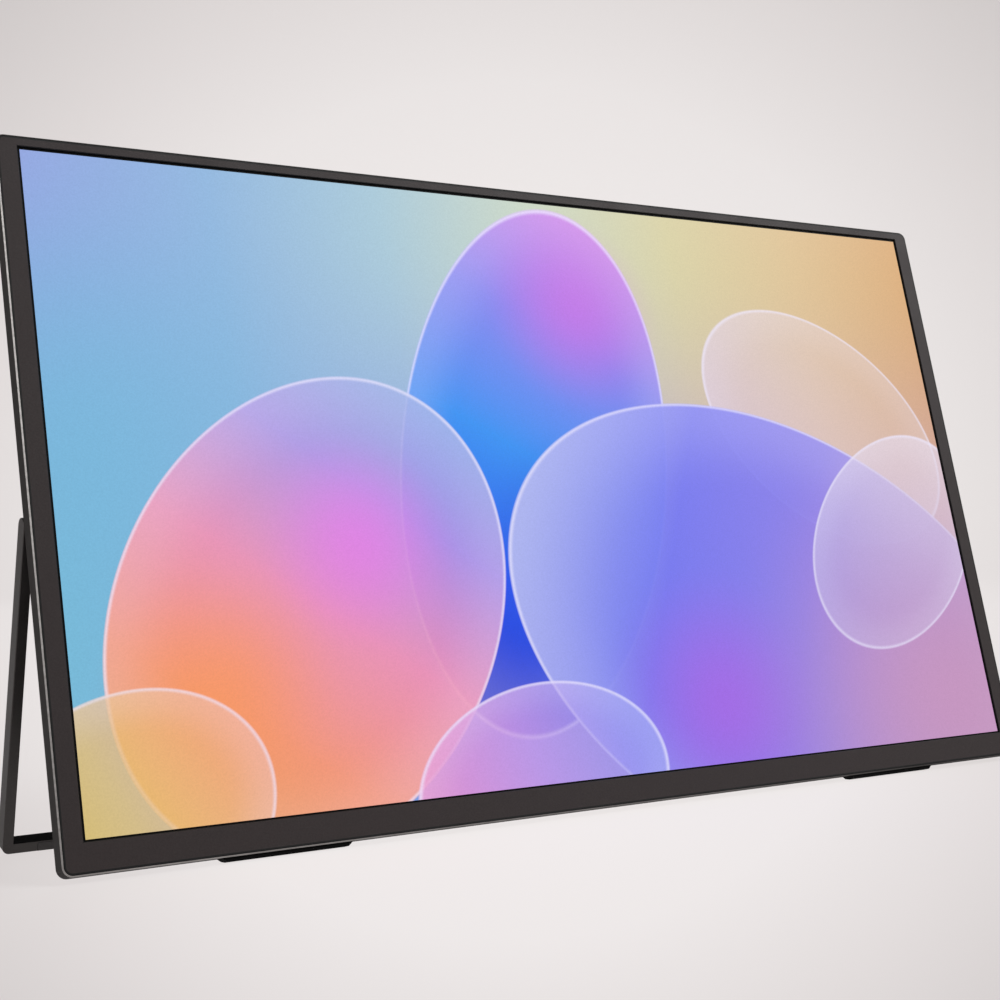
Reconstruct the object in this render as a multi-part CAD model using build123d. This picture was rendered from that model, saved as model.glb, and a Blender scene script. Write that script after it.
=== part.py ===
from build123d import *
import math
import os

# Portable monitor with a folding loop stand, in millimetres.
# Everything is drawn lying in the panel's own axes: x to the right, y up along the panel,
# z out of the screen, zero at the middle of the lit area and at the bezel's front face.
# The last section folds the stand out, leans the monitor back on it and sets it on the ground.

# Lit area and the margins from it to the outside of the body
ACTIVE_WIDTH = 344.16
ACTIVE_HEIGHT = 193.59
SIDE_MARGIN = 6.75
TOP_MARGIN = 3.8
BOTTOM_MARGIN = 9.1
BODY = (SIDE_MARGIN, TOP_MARGIN, BOTTOM_MARGIN)

# Metal side frame with its bright cut edge
RIM_DEPTH = 5.5
FRAME_WALL = 1.3
FRAME_CORNER = 2.8
CHAMFER = 0.42
FRAME_LIP = 0.15
SNAP_DEPTH = 0.3
SNAP_HEIGHT = 0.4
SNAP_INSET = 0.4

# Front bezel
BEZEL_THICKNESS = 0.6
BEZEL_GAP = 0.05
BEZEL_REVEAL = 0.55
BEZEL_EDGE = 0.2

# Display module, from the glass back to the steel tray
GLASS_THICKNESS = 1.0
GLASS_MARGINS = (3.4, 1.9, 6.4)
SHEET_MARGINS = (1.5, 1.2, 1.6)
DIFFUSER_THICKNESS = 0.4
LIGHT_GUIDE_THICKNESS = 0.6
REFLECTOR_THICKNESS = 0.2
SHEET_GAP = 0.1
LED_SPACE = 1.9
LED_STRIP = 0.4
LED_DEPTH = 1.1
LED_WIDTH = 7.0
LED_COUNT = 16
TRAY_SHEET = 0.3
TRAY_GAP = 0.1

# Rear cover: a ledge that closes the frame, and a raised housing behind it
LEDGE_THICKNESS = 1.2
COVER_GAP = 0.1
HOUSING_INSET = 3.56
HOUSING_DEPTH = 6.0
HOUSING_CORNER = 7.0
HOUSING_DRAFT = 6.0
HOUSING_EDGE = 1.4
COVER_WALL = 1.2
BACK_WALL = 1.0
RIB_THICKNESS = 0.8
RIB_HEIGHT = 1.2
RIB_FROM_TOP = 41.0
RIB_FROM_BOTTOM = 46.0
RIB_PITCH = 44.0
RIB_COUNT = 6
VENT_WIDTH = 1.8
VENT_LENGTH = 12.0
VENT_PITCH = 6.0
VENT_COUNT = 8
VENT_OFFSET = 72.0
VENT_FROM_TOP = 18.9
NAIL_SCOOP_RADIUS = 2.6
NAIL_SCOOP_LENGTH = 26.0

# Chassis plate
CHASSIS_THICKNESS = 1.0
CHASSIS_GAP = 0.4
WINDOW_WIDTH = 52.0
WINDOW_HEIGHT = 44.0
WINDOW_CORNER = 4.0
WINDOW_BRIDGE = 12.0
WINDOW_BELT = 28.0

# Boards, sockets and speakers
BOARD_THICKNESS = 1.0
BOARD_STANDOFF = 1.2
BOARD_EDGE_GAP = 0.8
MAIN_BOARD_WIDTH = 108.0
MAIN_BOARD_FROM_TOP = 26.9
MAIN_BOARD_ABOVE_HINGE = 18.5
SHIELD_SIZE = (26.0, 26.0, 1.6)
SHIELD_OFFSET = -8.0
CHIP_SIZE = (8.0, 10.0, 1.0)
CHIP_OFFSET = 18.0
CHIP_PITCH = 18.0
COIL_SIZE = (6.0, 6.0, 2.6)
COIL_OFFSET = -34.0
COIL_PITCH = 9.0
COIL_COUNT = 3
SOCKET_INSET = 0.3
PORT_CLEARANCE = 0.3
USB_WIDTH = 8.94
USB_HEIGHT = 3.26
USB_DEPTH = 7.4
USB_ABOVE_HINGE = (74.5, 60.5)
SHELL_WALL = 0.3
TONGUE_THICKNESS = 0.7
TONGUE_INSET = 1.2
HDMI_WIDTH = 11.2
HDMI_NECK = 9.2
HDMI_HEIGHT = 3.2
HDMI_DEPTH = 7.8
HDMI_ABOVE_HINGE = 44.5
JACK_BORE = 1.8
JACK_BORE_DEPTH = 12.0
JACK_WIDTH = 6.4
JACK_HEIGHT = 4.4
JACK_DEPTH = 13.2
JACK_ABOVE_HINGE = 28.5
SPEAKER_SIZE = (34.0, 15.0)
SPEAKER_FROM_SIDE = 40.5
SPEAKER_FROM_BOTTOM = 17.6
CONE_SIZE = (24.0, 9.0)
CONE_DEPTH = 1.0
GASKET_THICKNESS = 0.6
GASKET_WALL = 1.6
GRILLE_SLOT = (1.4, 8.0)
GRILLE_PITCH = 3.6
GRILLE_COUNT = 6
DRIVER_BOARD_FROM_SIDE = 58.5
DRIVER_BOARD_HEIGHT = 7.0
DRIVER_BOARD_THICKNESS = 0.6
DRIVER_BOARD_FROM_BOTTOM = 9.6
RIBBON_WIDTH = 12.0
RIBBON_FROM_EDGE = 23.0
RIBBON_THICKNESS = 0.3

# Keys in the left wall of the housing
KEY_WIDTH = 8.0
KEY_HEIGHT = 2.4
KEY_PROUD = 0.5
KEY_TRAVEL = 0.4
KEY_CLEARANCE = 0.2
KEY_FLANGE = 0.8
KEY_FLANGE_THICKNESS = 0.7
KEY_CORNER = 0.7
KEY_STEM = 1.2
KEY_ABOVE_HINGE = {"power_button": 70.5, "plus_button": 54.5, "minus_button": 42.5}
SWITCH_SIZE = (3.4, 4.6, 2.8)
SWITCH_POCKET = 1.2
BUTTON_BOARD_WIDTH = 8.0
BUTTON_BOARD_MARGIN = 7.0

# Folding loop stand
STAND_BAR = 3.0
STAND_DEPTH = 5.2
STAND_GAP = 0.3
STAND_CORNER = 2.0
HINGE_DROP = 11.5
OPEN_ANGLE = 29.4
GRIP_THICKNESS = 0.8
GRIP_PROUD = 0.25
GRIP_INSET = 9.96
GRIP_TOP_INSET = 0.5
GRIP_REACH = 3.4
GRIP_FLAT = 0.9

# Friction hinge: a steel pin gripped by a pack of sprung clips between two bracket ears
PIN_RADIUS = 1.3
PIN_SEAT_DEPTH = 2.2
PIN_RUNNING_GAP = 0.05
PIN_HOLE_GAP = 0.3
PIN_FLANGE_RADIUS = 1.95
PIN_FLANGE_THICKNESS = 0.5
PIN_END = 1.6
EAR_SHEET = 0.8
EAR_RADIUS = 2.05
EAR_FOOT = 7.0
CLIP_COUNT = 4
CLIP_THICKNESS = 3.2
CLIP_PITCH = 3.5
CLIP_GRIP_GAP = 0.02
CLIP_SLIT = 0.6
CLIP_TAIL = 1.5
BRACKET_LENGTH = 34.0
RING_THICKNESS = 0.4
RING_GROOVE_RADIUS = 0.95
RING_GAP = 0.05
WASHER_RADIUS = 2.2
WASHER_THICKNESS = 0.35
EAR_GAP = 0.2

# Screws
SCREW_SHANK = 0.8
SCREW_HEAD = 1.8
SCREW_HEAD_HEIGHT = 0.9
COVER_SCREW_SHANK = 1.0
COVER_SCREW_HEAD = 2.0
COVER_SCREW_HEAD_HEIGHT = 1.1
COVER_BOSS_RADIUS = 3.2
HEAD_CLEARANCE = 0.2
HEAD_SINK = 0.3
COVER_SCREW_FROM_TOP = 16.9
COVER_SCREW_FROM_BOTTOM = 21.6
COVER_SCREW_FROM_SIDE = 28.5
COVER_SCREW_LOW_FROM_SIDE = 13.5
COVER_SCREW_LOW_FROM_BOTTOM = 45.6
SMALL_SIDES = 10

# Rubber feet under the frame
FOOT_LENGTH = 39.5
FOOT_END_BEVEL = 1.5
FOOT_HEIGHT = 1.2
FOOT_POCKET = 0.4
FOOT_DEPTH = 4.0
FOOT_SETBACK = 0.8
FOOT_FROM_SIDE = 63.43
FOOT_FLAT = 1.5

# Levels worked out from the sizes above
BODY_HALF_WIDTH = ACTIVE_WIDTH / 2 + SIDE_MARGIN
BODY_TOP = ACTIVE_HEIGHT / 2 + TOP_MARGIN
BODY_BOTTOM = -ACTIVE_HEIGHT / 2 - BOTTOM_MARGIN
GLASS_BACK = -BEZEL_THICKNESS - GLASS_THICKNESS
GUIDE_FRONT = GLASS_BACK - DIFFUSER_THICKNESS
GUIDE_BACK = GUIDE_FRONT - LIGHT_GUIDE_THICKNESS
MODULE_BACK = GUIDE_BACK - REFLECTOR_THICKNESS - SHEET_GAP
LEDGE_FRONT = LEDGE_THICKNESS - RIM_DEPTH
CHASSIS_FRONT = LEDGE_FRONT + CHASSIS_THICKNESS
CHASSIS_BACK = LEDGE_FRONT
BOARD_FRONT = CHASSIS_BACK - BOARD_STANDOFF
BOARD_BACK = BOARD_FRONT - BOARD_THICKNESS
HOUSING_BACK = -RIM_DEPTH - HOUSING_DEPTH
HOUSING_INNER = HOUSING_BACK + BACK_WALL
STAND_FRONT = -RIM_DEPTH - STAND_GAP
HINGE_Y = -HINGE_DROP
HINGE_Z = STAND_FRONT - STAND_DEPTH / 2
LEG_INNER = BODY_HALF_WIDTH - STAND_BAR
SOCKET_Z = BOARD_BACK - USB_HEIGHT / 2
USB_Y = [HINGE_Y + rise for rise in USB_ABOVE_HINGE]
HDMI_Y = HINGE_Y + HDMI_ABOVE_HINGE
JACK_Y = HINGE_Y + JACK_ABOVE_HINGE
KEY_Y = {name: HINGE_Y + rise for name, rise in KEY_ABOVE_HINGE.items()}
MAIN_BOARD_TOP = BODY_TOP - MAIN_BOARD_FROM_TOP
MAIN_BOARD_BOTTOM = HINGE_Y + MAIN_BOARD_ABOVE_HINGE
MAIN_BOARD_HEIGHT = MAIN_BOARD_TOP - MAIN_BOARD_BOTTOM
MAIN_BOARD_Y = (MAIN_BOARD_TOP + MAIN_BOARD_BOTTOM) / 2
DRIVER_BOARD_Y = BODY_BOTTOM + DRIVER_BOARD_FROM_BOTTOM
DRIVER_BOARD_LENGTH = 2 * (BODY_HALF_WIDTH - DRIVER_BOARD_FROM_SIDE)
FOOT_OFFSET = BODY_HALF_WIDTH - FOOT_FROM_SIDE
SPEAKER_CENTRE = (BODY_HALF_WIDTH - SPEAKER_FROM_SIDE, BODY_BOTTOM + SPEAKER_FROM_BOTTOM)
COVER_SCREW_X = BODY_HALF_WIDTH - COVER_SCREW_FROM_SIDE
COVER_SCREW_LOW_X = BODY_HALF_WIDTH - COVER_SCREW_LOW_FROM_SIDE
COVER_SCREW_TOP = BODY_TOP - COVER_SCREW_FROM_TOP
COVER_SCREW_LOW = BODY_BOTTOM + COVER_SCREW_LOW_FROM_BOTTOM
COVER_SCREW_BOTTOM = BODY_BOTTOM + COVER_SCREW_FROM_BOTTOM
COVER_SCREW_PLACES = [
    (-COVER_SCREW_X, COVER_SCREW_TOP), (0, COVER_SCREW_TOP), (COVER_SCREW_X, COVER_SCREW_TOP),
    (-COVER_SCREW_LOW_X, COVER_SCREW_LOW), (COVER_SCREW_LOW_X, COVER_SCREW_LOW),
    (0, COVER_SCREW_BOTTOM),
]


def inset(margins, amount):
    return tuple(margin - amount for margin in margins)


def plate(margins, corner, front, thickness):
    """Flat sheet whose edges stand the given side, top and bottom margins off the lit area."""
    side, top, bottom = margins
    width = ACTIVE_WIDTH + 2 * side
    height = ACTIVE_HEIGHT + top + bottom
    outline = RectangleRounded(width, height, corner) if corner else Rectangle(width, height)
    return extrude(Pos(0, (top - bottom) / 2, front - thickness) * outline, amount=thickness)


def block(width, height, depth, x=0.0, y=0.0, z=0.0):
    return Pos(x, y, z) * Box(width, height, depth)


def peg(radius, x, y, front, back):
    """Column square to the panel, between two depths, for small screws, their holes and bosses."""
    return extrude(Pos(x, y, back) * RegularPolygon(radius, SMALL_SIDES), amount=front - back)


def disc(radius, start, end, y=HINGE_Y, z=HINGE_Z):
    """Round bar along x, between two x positions."""
    return Pos((start + end) / 2, y, z) * Rot(0, 90, 0) * Cylinder(radius, end - start)


def collar(radius, start, end):
    """Many-sided plate across x, round the hinge axis."""
    outline = Pos(HINGE_Y, HINGE_Z) * RegularPolygon(radius, SMALL_SIDES)
    return extrude(Plane.YZ.offset(start) * outline, amount=end - start)


def wall_at(depth):
    """Half width of the drafted housing's outside, at a depth behind the bezel's face."""
    behind = -RIM_DEPTH - depth
    return BODY_HALF_WIDTH - HOUSING_INSET - behind * math.tan(math.radians(HOUSING_DRAFT))


def mirrored(shape):
    return mirror(shape, about=Plane.YZ)


# Side frame
def side_frame():
    """Aluminium band round the display, with a bright chamfer and a groove for the cover."""
    frame = plate(BODY, FRAME_CORNER, 0, RIM_DEPTH)
    frame = chamfer(frame.edges().group_by(Axis.Z)[-1], CHAMFER)
    seat = CHAMFER + FRAME_LIP
    frame -= plate(inset(BODY, seat), FRAME_CORNER - seat, 0, BEZEL_THICKNESS)
    frame -= plate(inset(BODY, FRAME_WALL), FRAME_CORNER - FRAME_WALL, 0, RIM_DEPTH)
    groove = FRAME_WALL - SNAP_DEPTH
    groove_front = -RIM_DEPTH + SNAP_INSET + SNAP_HEIGHT
    frame -= plate(inset(BODY, groove), FRAME_CORNER - groove, groove_front, SNAP_HEIGHT)
    for side in (-1, 1):
        frame -= foot_block(side, FOOT_LENGTH, FOOT_POCKET, 0)
    return frame


# Rubber feet
def foot_block(side, length, above, below):
    """Block under the frame that reaches above and below the bottom edge."""
    centre_z = -FOOT_SETBACK - FOOT_DEPTH / 2
    centre_y = BODY_BOTTOM + (above - below) / 2
    return block(length, above + below, FOOT_DEPTH, side * FOOT_OFFSET, centre_y, centre_z)


def foot(side):
    """Rubber bar seated in its pocket, with both ends bevelled below the frame."""
    pad = Trapezoid(FOOT_LENGTH, FOOT_HEIGHT, math.degrees(math.atan2(FOOT_HEIGHT, FOOT_END_BEVEL)))
    face = Pos(side * FOOT_OFFSET, BODY_BOTTOM - FOOT_HEIGHT / 2, -FOOT_SETBACK - FOOT_DEPTH)
    tread = extrude(face * Rot(180, 0, 0) * pad, amount=-FOOT_DEPTH)
    return tread + foot_block(side, FOOT_LENGTH, FOOT_POCKET, 0)


# Front bezel
def front_bezel():
    """Matte plastic surround, flush in the frame, with a bevelled edge to the glass."""
    edge = CHAMFER + FRAME_LIP + BEZEL_GAP
    bezel = plate(inset(BODY, edge), FRAME_CORNER - edge, 0, BEZEL_THICKNESS)
    window = plate((BEZEL_REVEAL,) * 3, 0, 0, BEZEL_THICKNESS)
    bezel -= window
    inner = bezel.edges().group_by(Axis.Z)[-1].sort_by(Edge.length)
    facing = [e for e in inner if abs(e.center().X) < ACTIVE_WIDTH / 2 + BEZEL_REVEAL + BEZEL_EDGE
              and abs(e.center().Y) < ACTIVE_HEIGHT / 2 + BEZEL_REVEAL + BEZEL_EDGE]
    return chamfer(facing, BEZEL_EDGE)


# Display module
def lcd_glass():
    return plate(GLASS_MARGINS, 0, -BEZEL_THICKNESS, GLASS_THICKNESS)


def optical_sheets():
    return plate(SHEET_MARGINS, 0, GLASS_BACK, DIFFUSER_THICKNESS)


def light_guide():
    return plate(SHEET_MARGINS, 0, GUIDE_FRONT, LIGHT_GUIDE_THICKNESS)


def reflector_sheet():
    return plate(SHEET_MARGINS, 0, GUIDE_BACK, REFLECTOR_THICKNESS)


def panel_frame():
    """Moulded ring that the glass lies on and that keeps the sheets and lamps in place."""
    side, top, bottom = inset(SHEET_MARGINS, -SHEET_GAP)
    depth = GLASS_BACK - MODULE_BACK
    ring = plate(GLASS_MARGINS, 0, GLASS_BACK, depth)
    return ring - plate((side, top, bottom + LED_SPACE), 0, GLASS_BACK, depth)


def led_bar():
    """Flexible strip along the bottom of the light guide, with its row of lamps."""
    guide_bottom = -ACTIVE_HEIGHT / 2 - SHEET_MARGINS[2]
    lamp_y = guide_bottom - SHEET_GAP - LED_DEPTH / 2
    strip_y = lamp_y - LED_DEPTH / 2 - LED_STRIP / 2
    middle = (GUIDE_FRONT + GUIDE_BACK) / 2
    pitch = ACTIVE_WIDTH / LED_COUNT
    bar = block(ACTIVE_WIDTH, LED_STRIP, LIGHT_GUIDE_THICKNESS, 0, strip_y, middle)
    lamps = GridLocations(pitch, 1, LED_COUNT, 1) * Box(LED_WIDTH, LED_DEPTH, LIGHT_GUIDE_THICKNESS)
    return bar + [Pos(0, lamp_y, middle) * lamp for lamp in lamps]


def panel_tray():
    """Pressed steel tray that wraps the back and the edges of the module."""
    cavity = inset(GLASS_MARGINS, -TRAY_GAP)
    front = -BEZEL_THICKNESS - TRAY_GAP
    tray = plate(inset(cavity, -TRAY_SHEET), 0, front, front - MODULE_BACK + TRAY_SHEET)
    return tray - plate(cavity, 0, front, front - MODULE_BACK)


def driver_board():
    back = MODULE_BACK - TRAY_SHEET
    size = (DRIVER_BOARD_LENGTH, DRIVER_BOARD_HEIGHT, DRIVER_BOARD_THICKNESS)
    return block(*size, 0, DRIVER_BOARD_Y, back - DRIVER_BOARD_THICKNESS / 2)


def panel_ribbon():
    """Flat cable from the driver board, along the chassis and up to the main board."""
    low = CHASSIS_BACK
    board_bottom = MAIN_BOARD_Y - MAIN_BOARD_HEIGHT / 2
    driver_top = DRIVER_BOARD_Y + DRIVER_BOARD_HEIGHT / 2
    driver_back = MODULE_BACK - TRAY_SHEET - DRIVER_BOARD_THICKNESS
    rise = abs(BOARD_BACK - low)
    line = [(DRIVER_BOARD_Y, driver_back), (driver_top - 4 * (driver_back - low), driver_back),
            (driver_top, low), (board_bottom - 2 * rise, low),
            (board_bottom - rise / 2, BOARD_BACK), (board_bottom + RIBBON_WIDTH / 2, BOARD_BACK)]
    back = [(y, z - RIBBON_THICKNESS) for y, z in reversed(line)]
    start = main_board_x() - MAIN_BOARD_WIDTH / 2 + RIBBON_FROM_EDGE
    profile = Plane.YZ.offset(start) * make_face(Polyline(line + back, close=True))
    return extrude(profile, amount=RIBBON_WIDTH)


# Chassis plate
def chassis_windows():
    """Two rows of windows that leave a belt for the hinges, and the driver board's long one."""
    outline = Rectangle(WINDOW_WIDTH, WINDOW_HEIGHT)
    outline = chamfer(outline.vertices(), WINDOW_CORNER)
    window = Pos(0, 0, CHASSIS_BACK) * extrude(outline, amount=CHASSIS_THICKNESS)
    pitch_x = WINDOW_WIDTH + WINDOW_BRIDGE
    pitch_y = WINDOW_HEIGHT + WINDOW_BELT
    row = [place * window for place in GridLocations(pitch_x, pitch_y, 3, 2)]
    margin = 2 * CHASSIS_GAP
    slot = Rectangle(DRIVER_BOARD_LENGTH + 2 * margin, DRIVER_BOARD_HEIGHT + 2 * margin)
    row.append(Pos(0, DRIVER_BOARD_Y, CHASSIS_BACK) * extrude(slot, amount=CHASSIS_THICKNESS))
    return row


def board_places():
    """Screw places of the main board, a screw's head in from its edges and clear of the hinge."""
    margin = 2 * SCREW_HEAD
    left = main_board_x() - MAIN_BOARD_WIDTH / 2 + margin
    right = ear_inner() - EAR_SHEET - margin
    return [(x, y) for x in (left, right)
            for y in (MAIN_BOARD_BOTTOM + margin, MAIN_BOARD_TOP - margin)]


def button_board_places():
    x = -wall_at(BOARD_BACK) + COVER_WALL + BOARD_EDGE_GAP + BUTTON_BOARD_WIDTH - SCREW_HEAD
    keys = KEY_Y.values()
    reach = BUTTON_BOARD_MARGIN - SCREW_HEAD
    return [(x, min(keys) - reach), (x, max(keys) + reach)]


def chassis_plate():
    """Aluminium plate behind the display that carries the hinges, boards and speakers."""
    edge = FRAME_WALL + CHASSIS_GAP
    sheet = plate(inset(BODY, edge), FRAME_CORNER - FRAME_WALL, CHASSIS_FRONT, CHASSIS_THICKNESS)
    for window in chassis_windows():
        sheet -= window
    for x, y in board_places() + button_board_places():
        sheet += peg(SCREW_HEAD, x, y, CHASSIS_BACK, BOARD_FRONT)
        sheet -= peg(SCREW_SHANK, x, y, CHASSIS_FRONT, BOARD_FRONT)
    for x, y in hinge_screw_places():
        sheet -= peg(SCREW_SHANK, x, y, CHASSIS_FRONT, CHASSIS_BACK)
    for x, y in COVER_SCREW_PLACES:
        sheet -= peg(COVER_SCREW_SHANK, x, y, CHASSIS_FRONT, CHASSIS_BACK)
    return sheet


# Rear cover
def drafted(margins, corner, start, depth):
    """Tapered block behind the ledge, narrowing towards the back."""
    side, top, bottom = margins
    outline = RectangleRounded(ACTIVE_WIDTH + 2 * side, ACTIVE_HEIGHT + top + bottom, corner)
    return extrude(Pos(0, (top - bottom) / 2, start) * outline, amount=-depth, taper=HOUSING_DRAFT)


def rear_cover():
    """Moulded back with a thin ledge, a raised drafted housing, bosses, ribs, vents and ports."""
    outer = inset(BODY, HOUSING_INSET)
    housing = drafted(outer, HOUSING_CORNER, -RIM_DEPTH, HOUSING_DEPTH)
    housing = chamfer(housing.edges().group_by(Axis.Z)[0], HOUSING_EDGE)
    edge = FRAME_WALL + COVER_GAP
    cover = housing + plate(inset(BODY, edge), FRAME_CORNER - FRAME_WALL, LEDGE_FRONT, LEDGE_THICKNESS)
    bead_front = -RIM_DEPTH + SNAP_INSET + SNAP_HEIGHT - COVER_GAP / 2
    bead = inset(BODY, edge - SNAP_DEPTH + COVER_GAP / 2)
    cover += plate(bead, FRAME_CORNER - FRAME_WALL, bead_front, SNAP_HEIGHT - COVER_GAP)
    cavity = inset(outer, COVER_WALL)
    inner_corner = HOUSING_CORNER - COVER_WALL
    cover -= drafted(cavity, inner_corner, -RIM_DEPTH, HOUSING_DEPTH - BACK_WALL)
    cover -= plate(cavity, inner_corner, LEDGE_FRONT, LEDGE_THICKNESS)
    cover += cover_ribs() + [scoop_backing()]
    cover -= nail_scoop(NAIL_SCOOP_RADIUS, NAIL_SCOOP_LENGTH)
    cover += [peg(COVER_BOSS_RADIUS, x, y, CHASSIS_BACK, HOUSING_INNER) for x, y in COVER_SCREW_PLACES]
    for x, y in COVER_SCREW_PLACES:
        cover -= peg(COVER_SCREW_SHANK + COVER_GAP, x, y, CHASSIS_BACK, HOUSING_BACK)
        cover -= peg(COVER_SCREW_HEAD + HEAD_CLEARANCE, x, y, cover_head_seat(), HOUSING_BACK)
    for cutter in vents() + grilles() + port_holes() + key_holes() + pin_holes():
        cover -= cutter
    return cover


def cover_head_seat():
    return HOUSING_BACK + COVER_SCREW_HEAD_HEIGHT + HEAD_SINK


def cover_ribs():
    """Low upright ribs on the inside of the back wall."""
    top = BODY_TOP - RIB_FROM_TOP
    bottom = BODY_BOTTOM + RIB_FROM_BOTTOM
    rib = block(RIB_THICKNESS, top - bottom, RIB_HEIGHT, 0, (top + bottom) / 2, HOUSING_INNER + RIB_HEIGHT / 2)
    return [place * rib for place in GridLocations(RIB_PITCH, 1, RIB_COUNT, 1)]


def nail_scoop(radius, length):
    """Rounded hollow in the bottom edge of the housing, for a fingernail behind the stand's bar."""
    return disc(radius, -length / 2, length / 2, BODY_BOTTOM + HOUSING_INSET, HOUSING_BACK)


def scoop_backing():
    """Thicker wall round the hollow, so that it doesn't open into the housing."""
    reach = NAIL_SCOOP_RADIUS + COVER_WALL
    y = BODY_BOTTOM + HOUSING_INSET + COVER_WALL / 2 + reach / 2
    z = HOUSING_INNER + reach / 2 - BACK_WALL / 2
    return block(NAIL_SCOOP_LENGTH + 2 * COVER_WALL, reach - COVER_WALL / 2, reach - BACK_WALL / 2, 0, y, z)


def slot_row(size, pitch, count, x, y):
    """Row of upright slots through the back wall."""
    width, length = size
    slot = block(width, length, 3 * BACK_WALL, x, y, HOUSING_BACK + BACK_WALL / 2)
    return [place * slot for place in GridLocations(pitch, 1, count, 1)]


def vents():
    size = (VENT_WIDTH, VENT_LENGTH)
    y = BODY_TOP - VENT_FROM_TOP
    rows = [slot_row(size, VENT_PITCH, VENT_COUNT, side * VENT_OFFSET, y) for side in (-1, 1)]
    return rows[0] + rows[1]


def grilles():
    x, y = SPEAKER_CENTRE
    rows = [slot_row(GRILLE_SLOT, GRILLE_PITCH, GRILLE_COUNT, side * x, y) for side in (-1, 1)]
    return rows[0] + rows[1]


def port_holes():
    """Openings in the right wall, a clearance larger than each socket."""
    start = wall_at(SOCKET_Z) - 2 * COVER_WALL
    reach = 4 * COVER_WALL
    grow = 2 * PORT_CLEARANCE
    usb = SlotOverall(USB_WIDTH + grow, USB_HEIGHT + grow)
    hdmi = Rectangle(HDMI_WIDTH + grow, HDMI_HEIGHT + grow)
    jack = Circle(JACK_HEIGHT / 2 + PORT_CLEARANCE)
    shapes = [(usb, y) for y in USB_Y] + [(hdmi, HDMI_Y), (jack, JACK_Y)]
    return [extrude(Plane.YZ.offset(start) * Pos(y, SOCKET_Z) * shape, amount=reach)
            for shape, y in shapes]


def key_outline(grow):
    """Rectangle with clipped corners, a little larger all round where the key passes through."""
    outline = Rectangle(KEY_WIDTH + 2 * grow, KEY_HEIGHT + 2 * grow)
    return chamfer(outline.vertices(), KEY_CORNER)


def key_holes():
    outline = key_outline(KEY_CLEARANCE)
    start = -wall_at(SOCKET_Z) - COVER_WALL
    return [extrude(Plane.YZ.offset(start) * Pos(y, SOCKET_Z) * outline, amount=3 * COVER_WALL)
            for y in KEY_Y.values()]


def pin_holes():
    start = wall_at(HINGE_Z) - 2 * COVER_WALL
    hole = disc(PIN_RADIUS + PIN_HOLE_GAP, start, LEG_INNER)
    return [hole, mirrored(hole)]


# Boards
def main_board_x():
    return wall_at(BOARD_BACK) - COVER_WALL - BOARD_EDGE_GAP - MAIN_BOARD_WIDTH / 2


def main_board():
    """Circuit board with a notch that the headphone socket sinks into."""
    middle = (BOARD_FRONT + BOARD_BACK) / 2
    board = block(MAIN_BOARD_WIDTH, MAIN_BOARD_HEIGHT, BOARD_THICKNESS, main_board_x(), MAIN_BOARD_Y, middle)
    notch = JACK_DEPTH + PORT_CLEARANCE
    edge = wall_at(SOCKET_Z) - SOCKET_INSET
    board -= block(2 * notch, JACK_WIDTH + 2 * PORT_CLEARANCE, BOARD_THICKNESS, edge, JACK_Y, middle)
    for x, y in board_places():
        board -= peg(SCREW_SHANK, x, y, BOARD_FRONT, BOARD_BACK)
    return board


def board_chips():
    """Picture processor under its shield, memory, power coils and the ribbon's connector."""
    on_board = Pos(main_board_x(), MAIN_BOARD_Y, BOARD_BACK)
    shield = raised(SHIELD_SIZE, SHIELD_OFFSET)
    memories = [place * raised(CHIP_SIZE, CHIP_OFFSET) for place in GridLocations(1, CHIP_PITCH, 1, 2)]
    coils = [place * raised(COIL_SIZE, COIL_OFFSET) for place in GridLocations(1, COIL_PITCH, 1, COIL_COUNT)]
    return Compound(children=[on_board * chip for chip in [shield] + memories + coils])


def raised(size, offset):
    """Block that stands back from the board's face, a distance to the side of its middle."""
    width, height, depth = size
    return block(width, height, depth, offset, 0, -depth / 2)


def button_board():
    keys = KEY_Y.values()
    length = max(keys) - min(keys) + 2 * BUTTON_BOARD_MARGIN
    x = -wall_at(BOARD_BACK) + COVER_WALL + BOARD_EDGE_GAP + BUTTON_BOARD_WIDTH / 2
    y = (max(keys) + min(keys)) / 2
    board = block(BUTTON_BOARD_WIDTH, length, BOARD_THICKNESS, x, y, (BOARD_FRONT + BOARD_BACK) / 2)
    for place in button_board_places():
        board -= peg(SCREW_SHANK, *place, BOARD_FRONT, BOARD_BACK)
    return board


# Sockets
def along_x(outline, y, start, depth):
    """Solid with the outline across y and z, from an x position back into the body."""
    return extrude(Plane.YZ.offset(start) * Pos(y, SOCKET_Z) * outline, amount=-depth)


def socket_mouth():
    return wall_at(SOCKET_Z) - SOCKET_INSET


def usb_c_socket(y):
    """Drawn steel shell with the contact tongue standing in its mouth."""
    shell = along_x(SlotOverall(USB_WIDTH, USB_HEIGHT), y, socket_mouth(), USB_DEPTH)
    hollow = SlotOverall(USB_WIDTH - 2 * SHELL_WALL, USB_HEIGHT - 2 * SHELL_WALL)
    shell -= along_x(hollow, y, socket_mouth(), USB_DEPTH - SHELL_WALL)
    tongue = Rectangle(USB_WIDTH - 2 * TONGUE_INSET, TONGUE_THICKNESS)
    return shell + along_x(tongue, y, socket_mouth() - TONGUE_INSET, USB_DEPTH - TONGUE_INSET)


def hdmi_outline(shrink):
    """Wide at the top and narrower below, like the plug that it takes."""
    half = HDMI_WIDTH / 2 - shrink
    neck = HDMI_NECK / 2 - shrink
    high = HDMI_HEIGHT / 2 - shrink
    points = [(-half, -high), (half, -high), (half, 0), (neck, high), (-neck, high), (-half, 0)]
    return make_face(Polyline(points, close=True))


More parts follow.
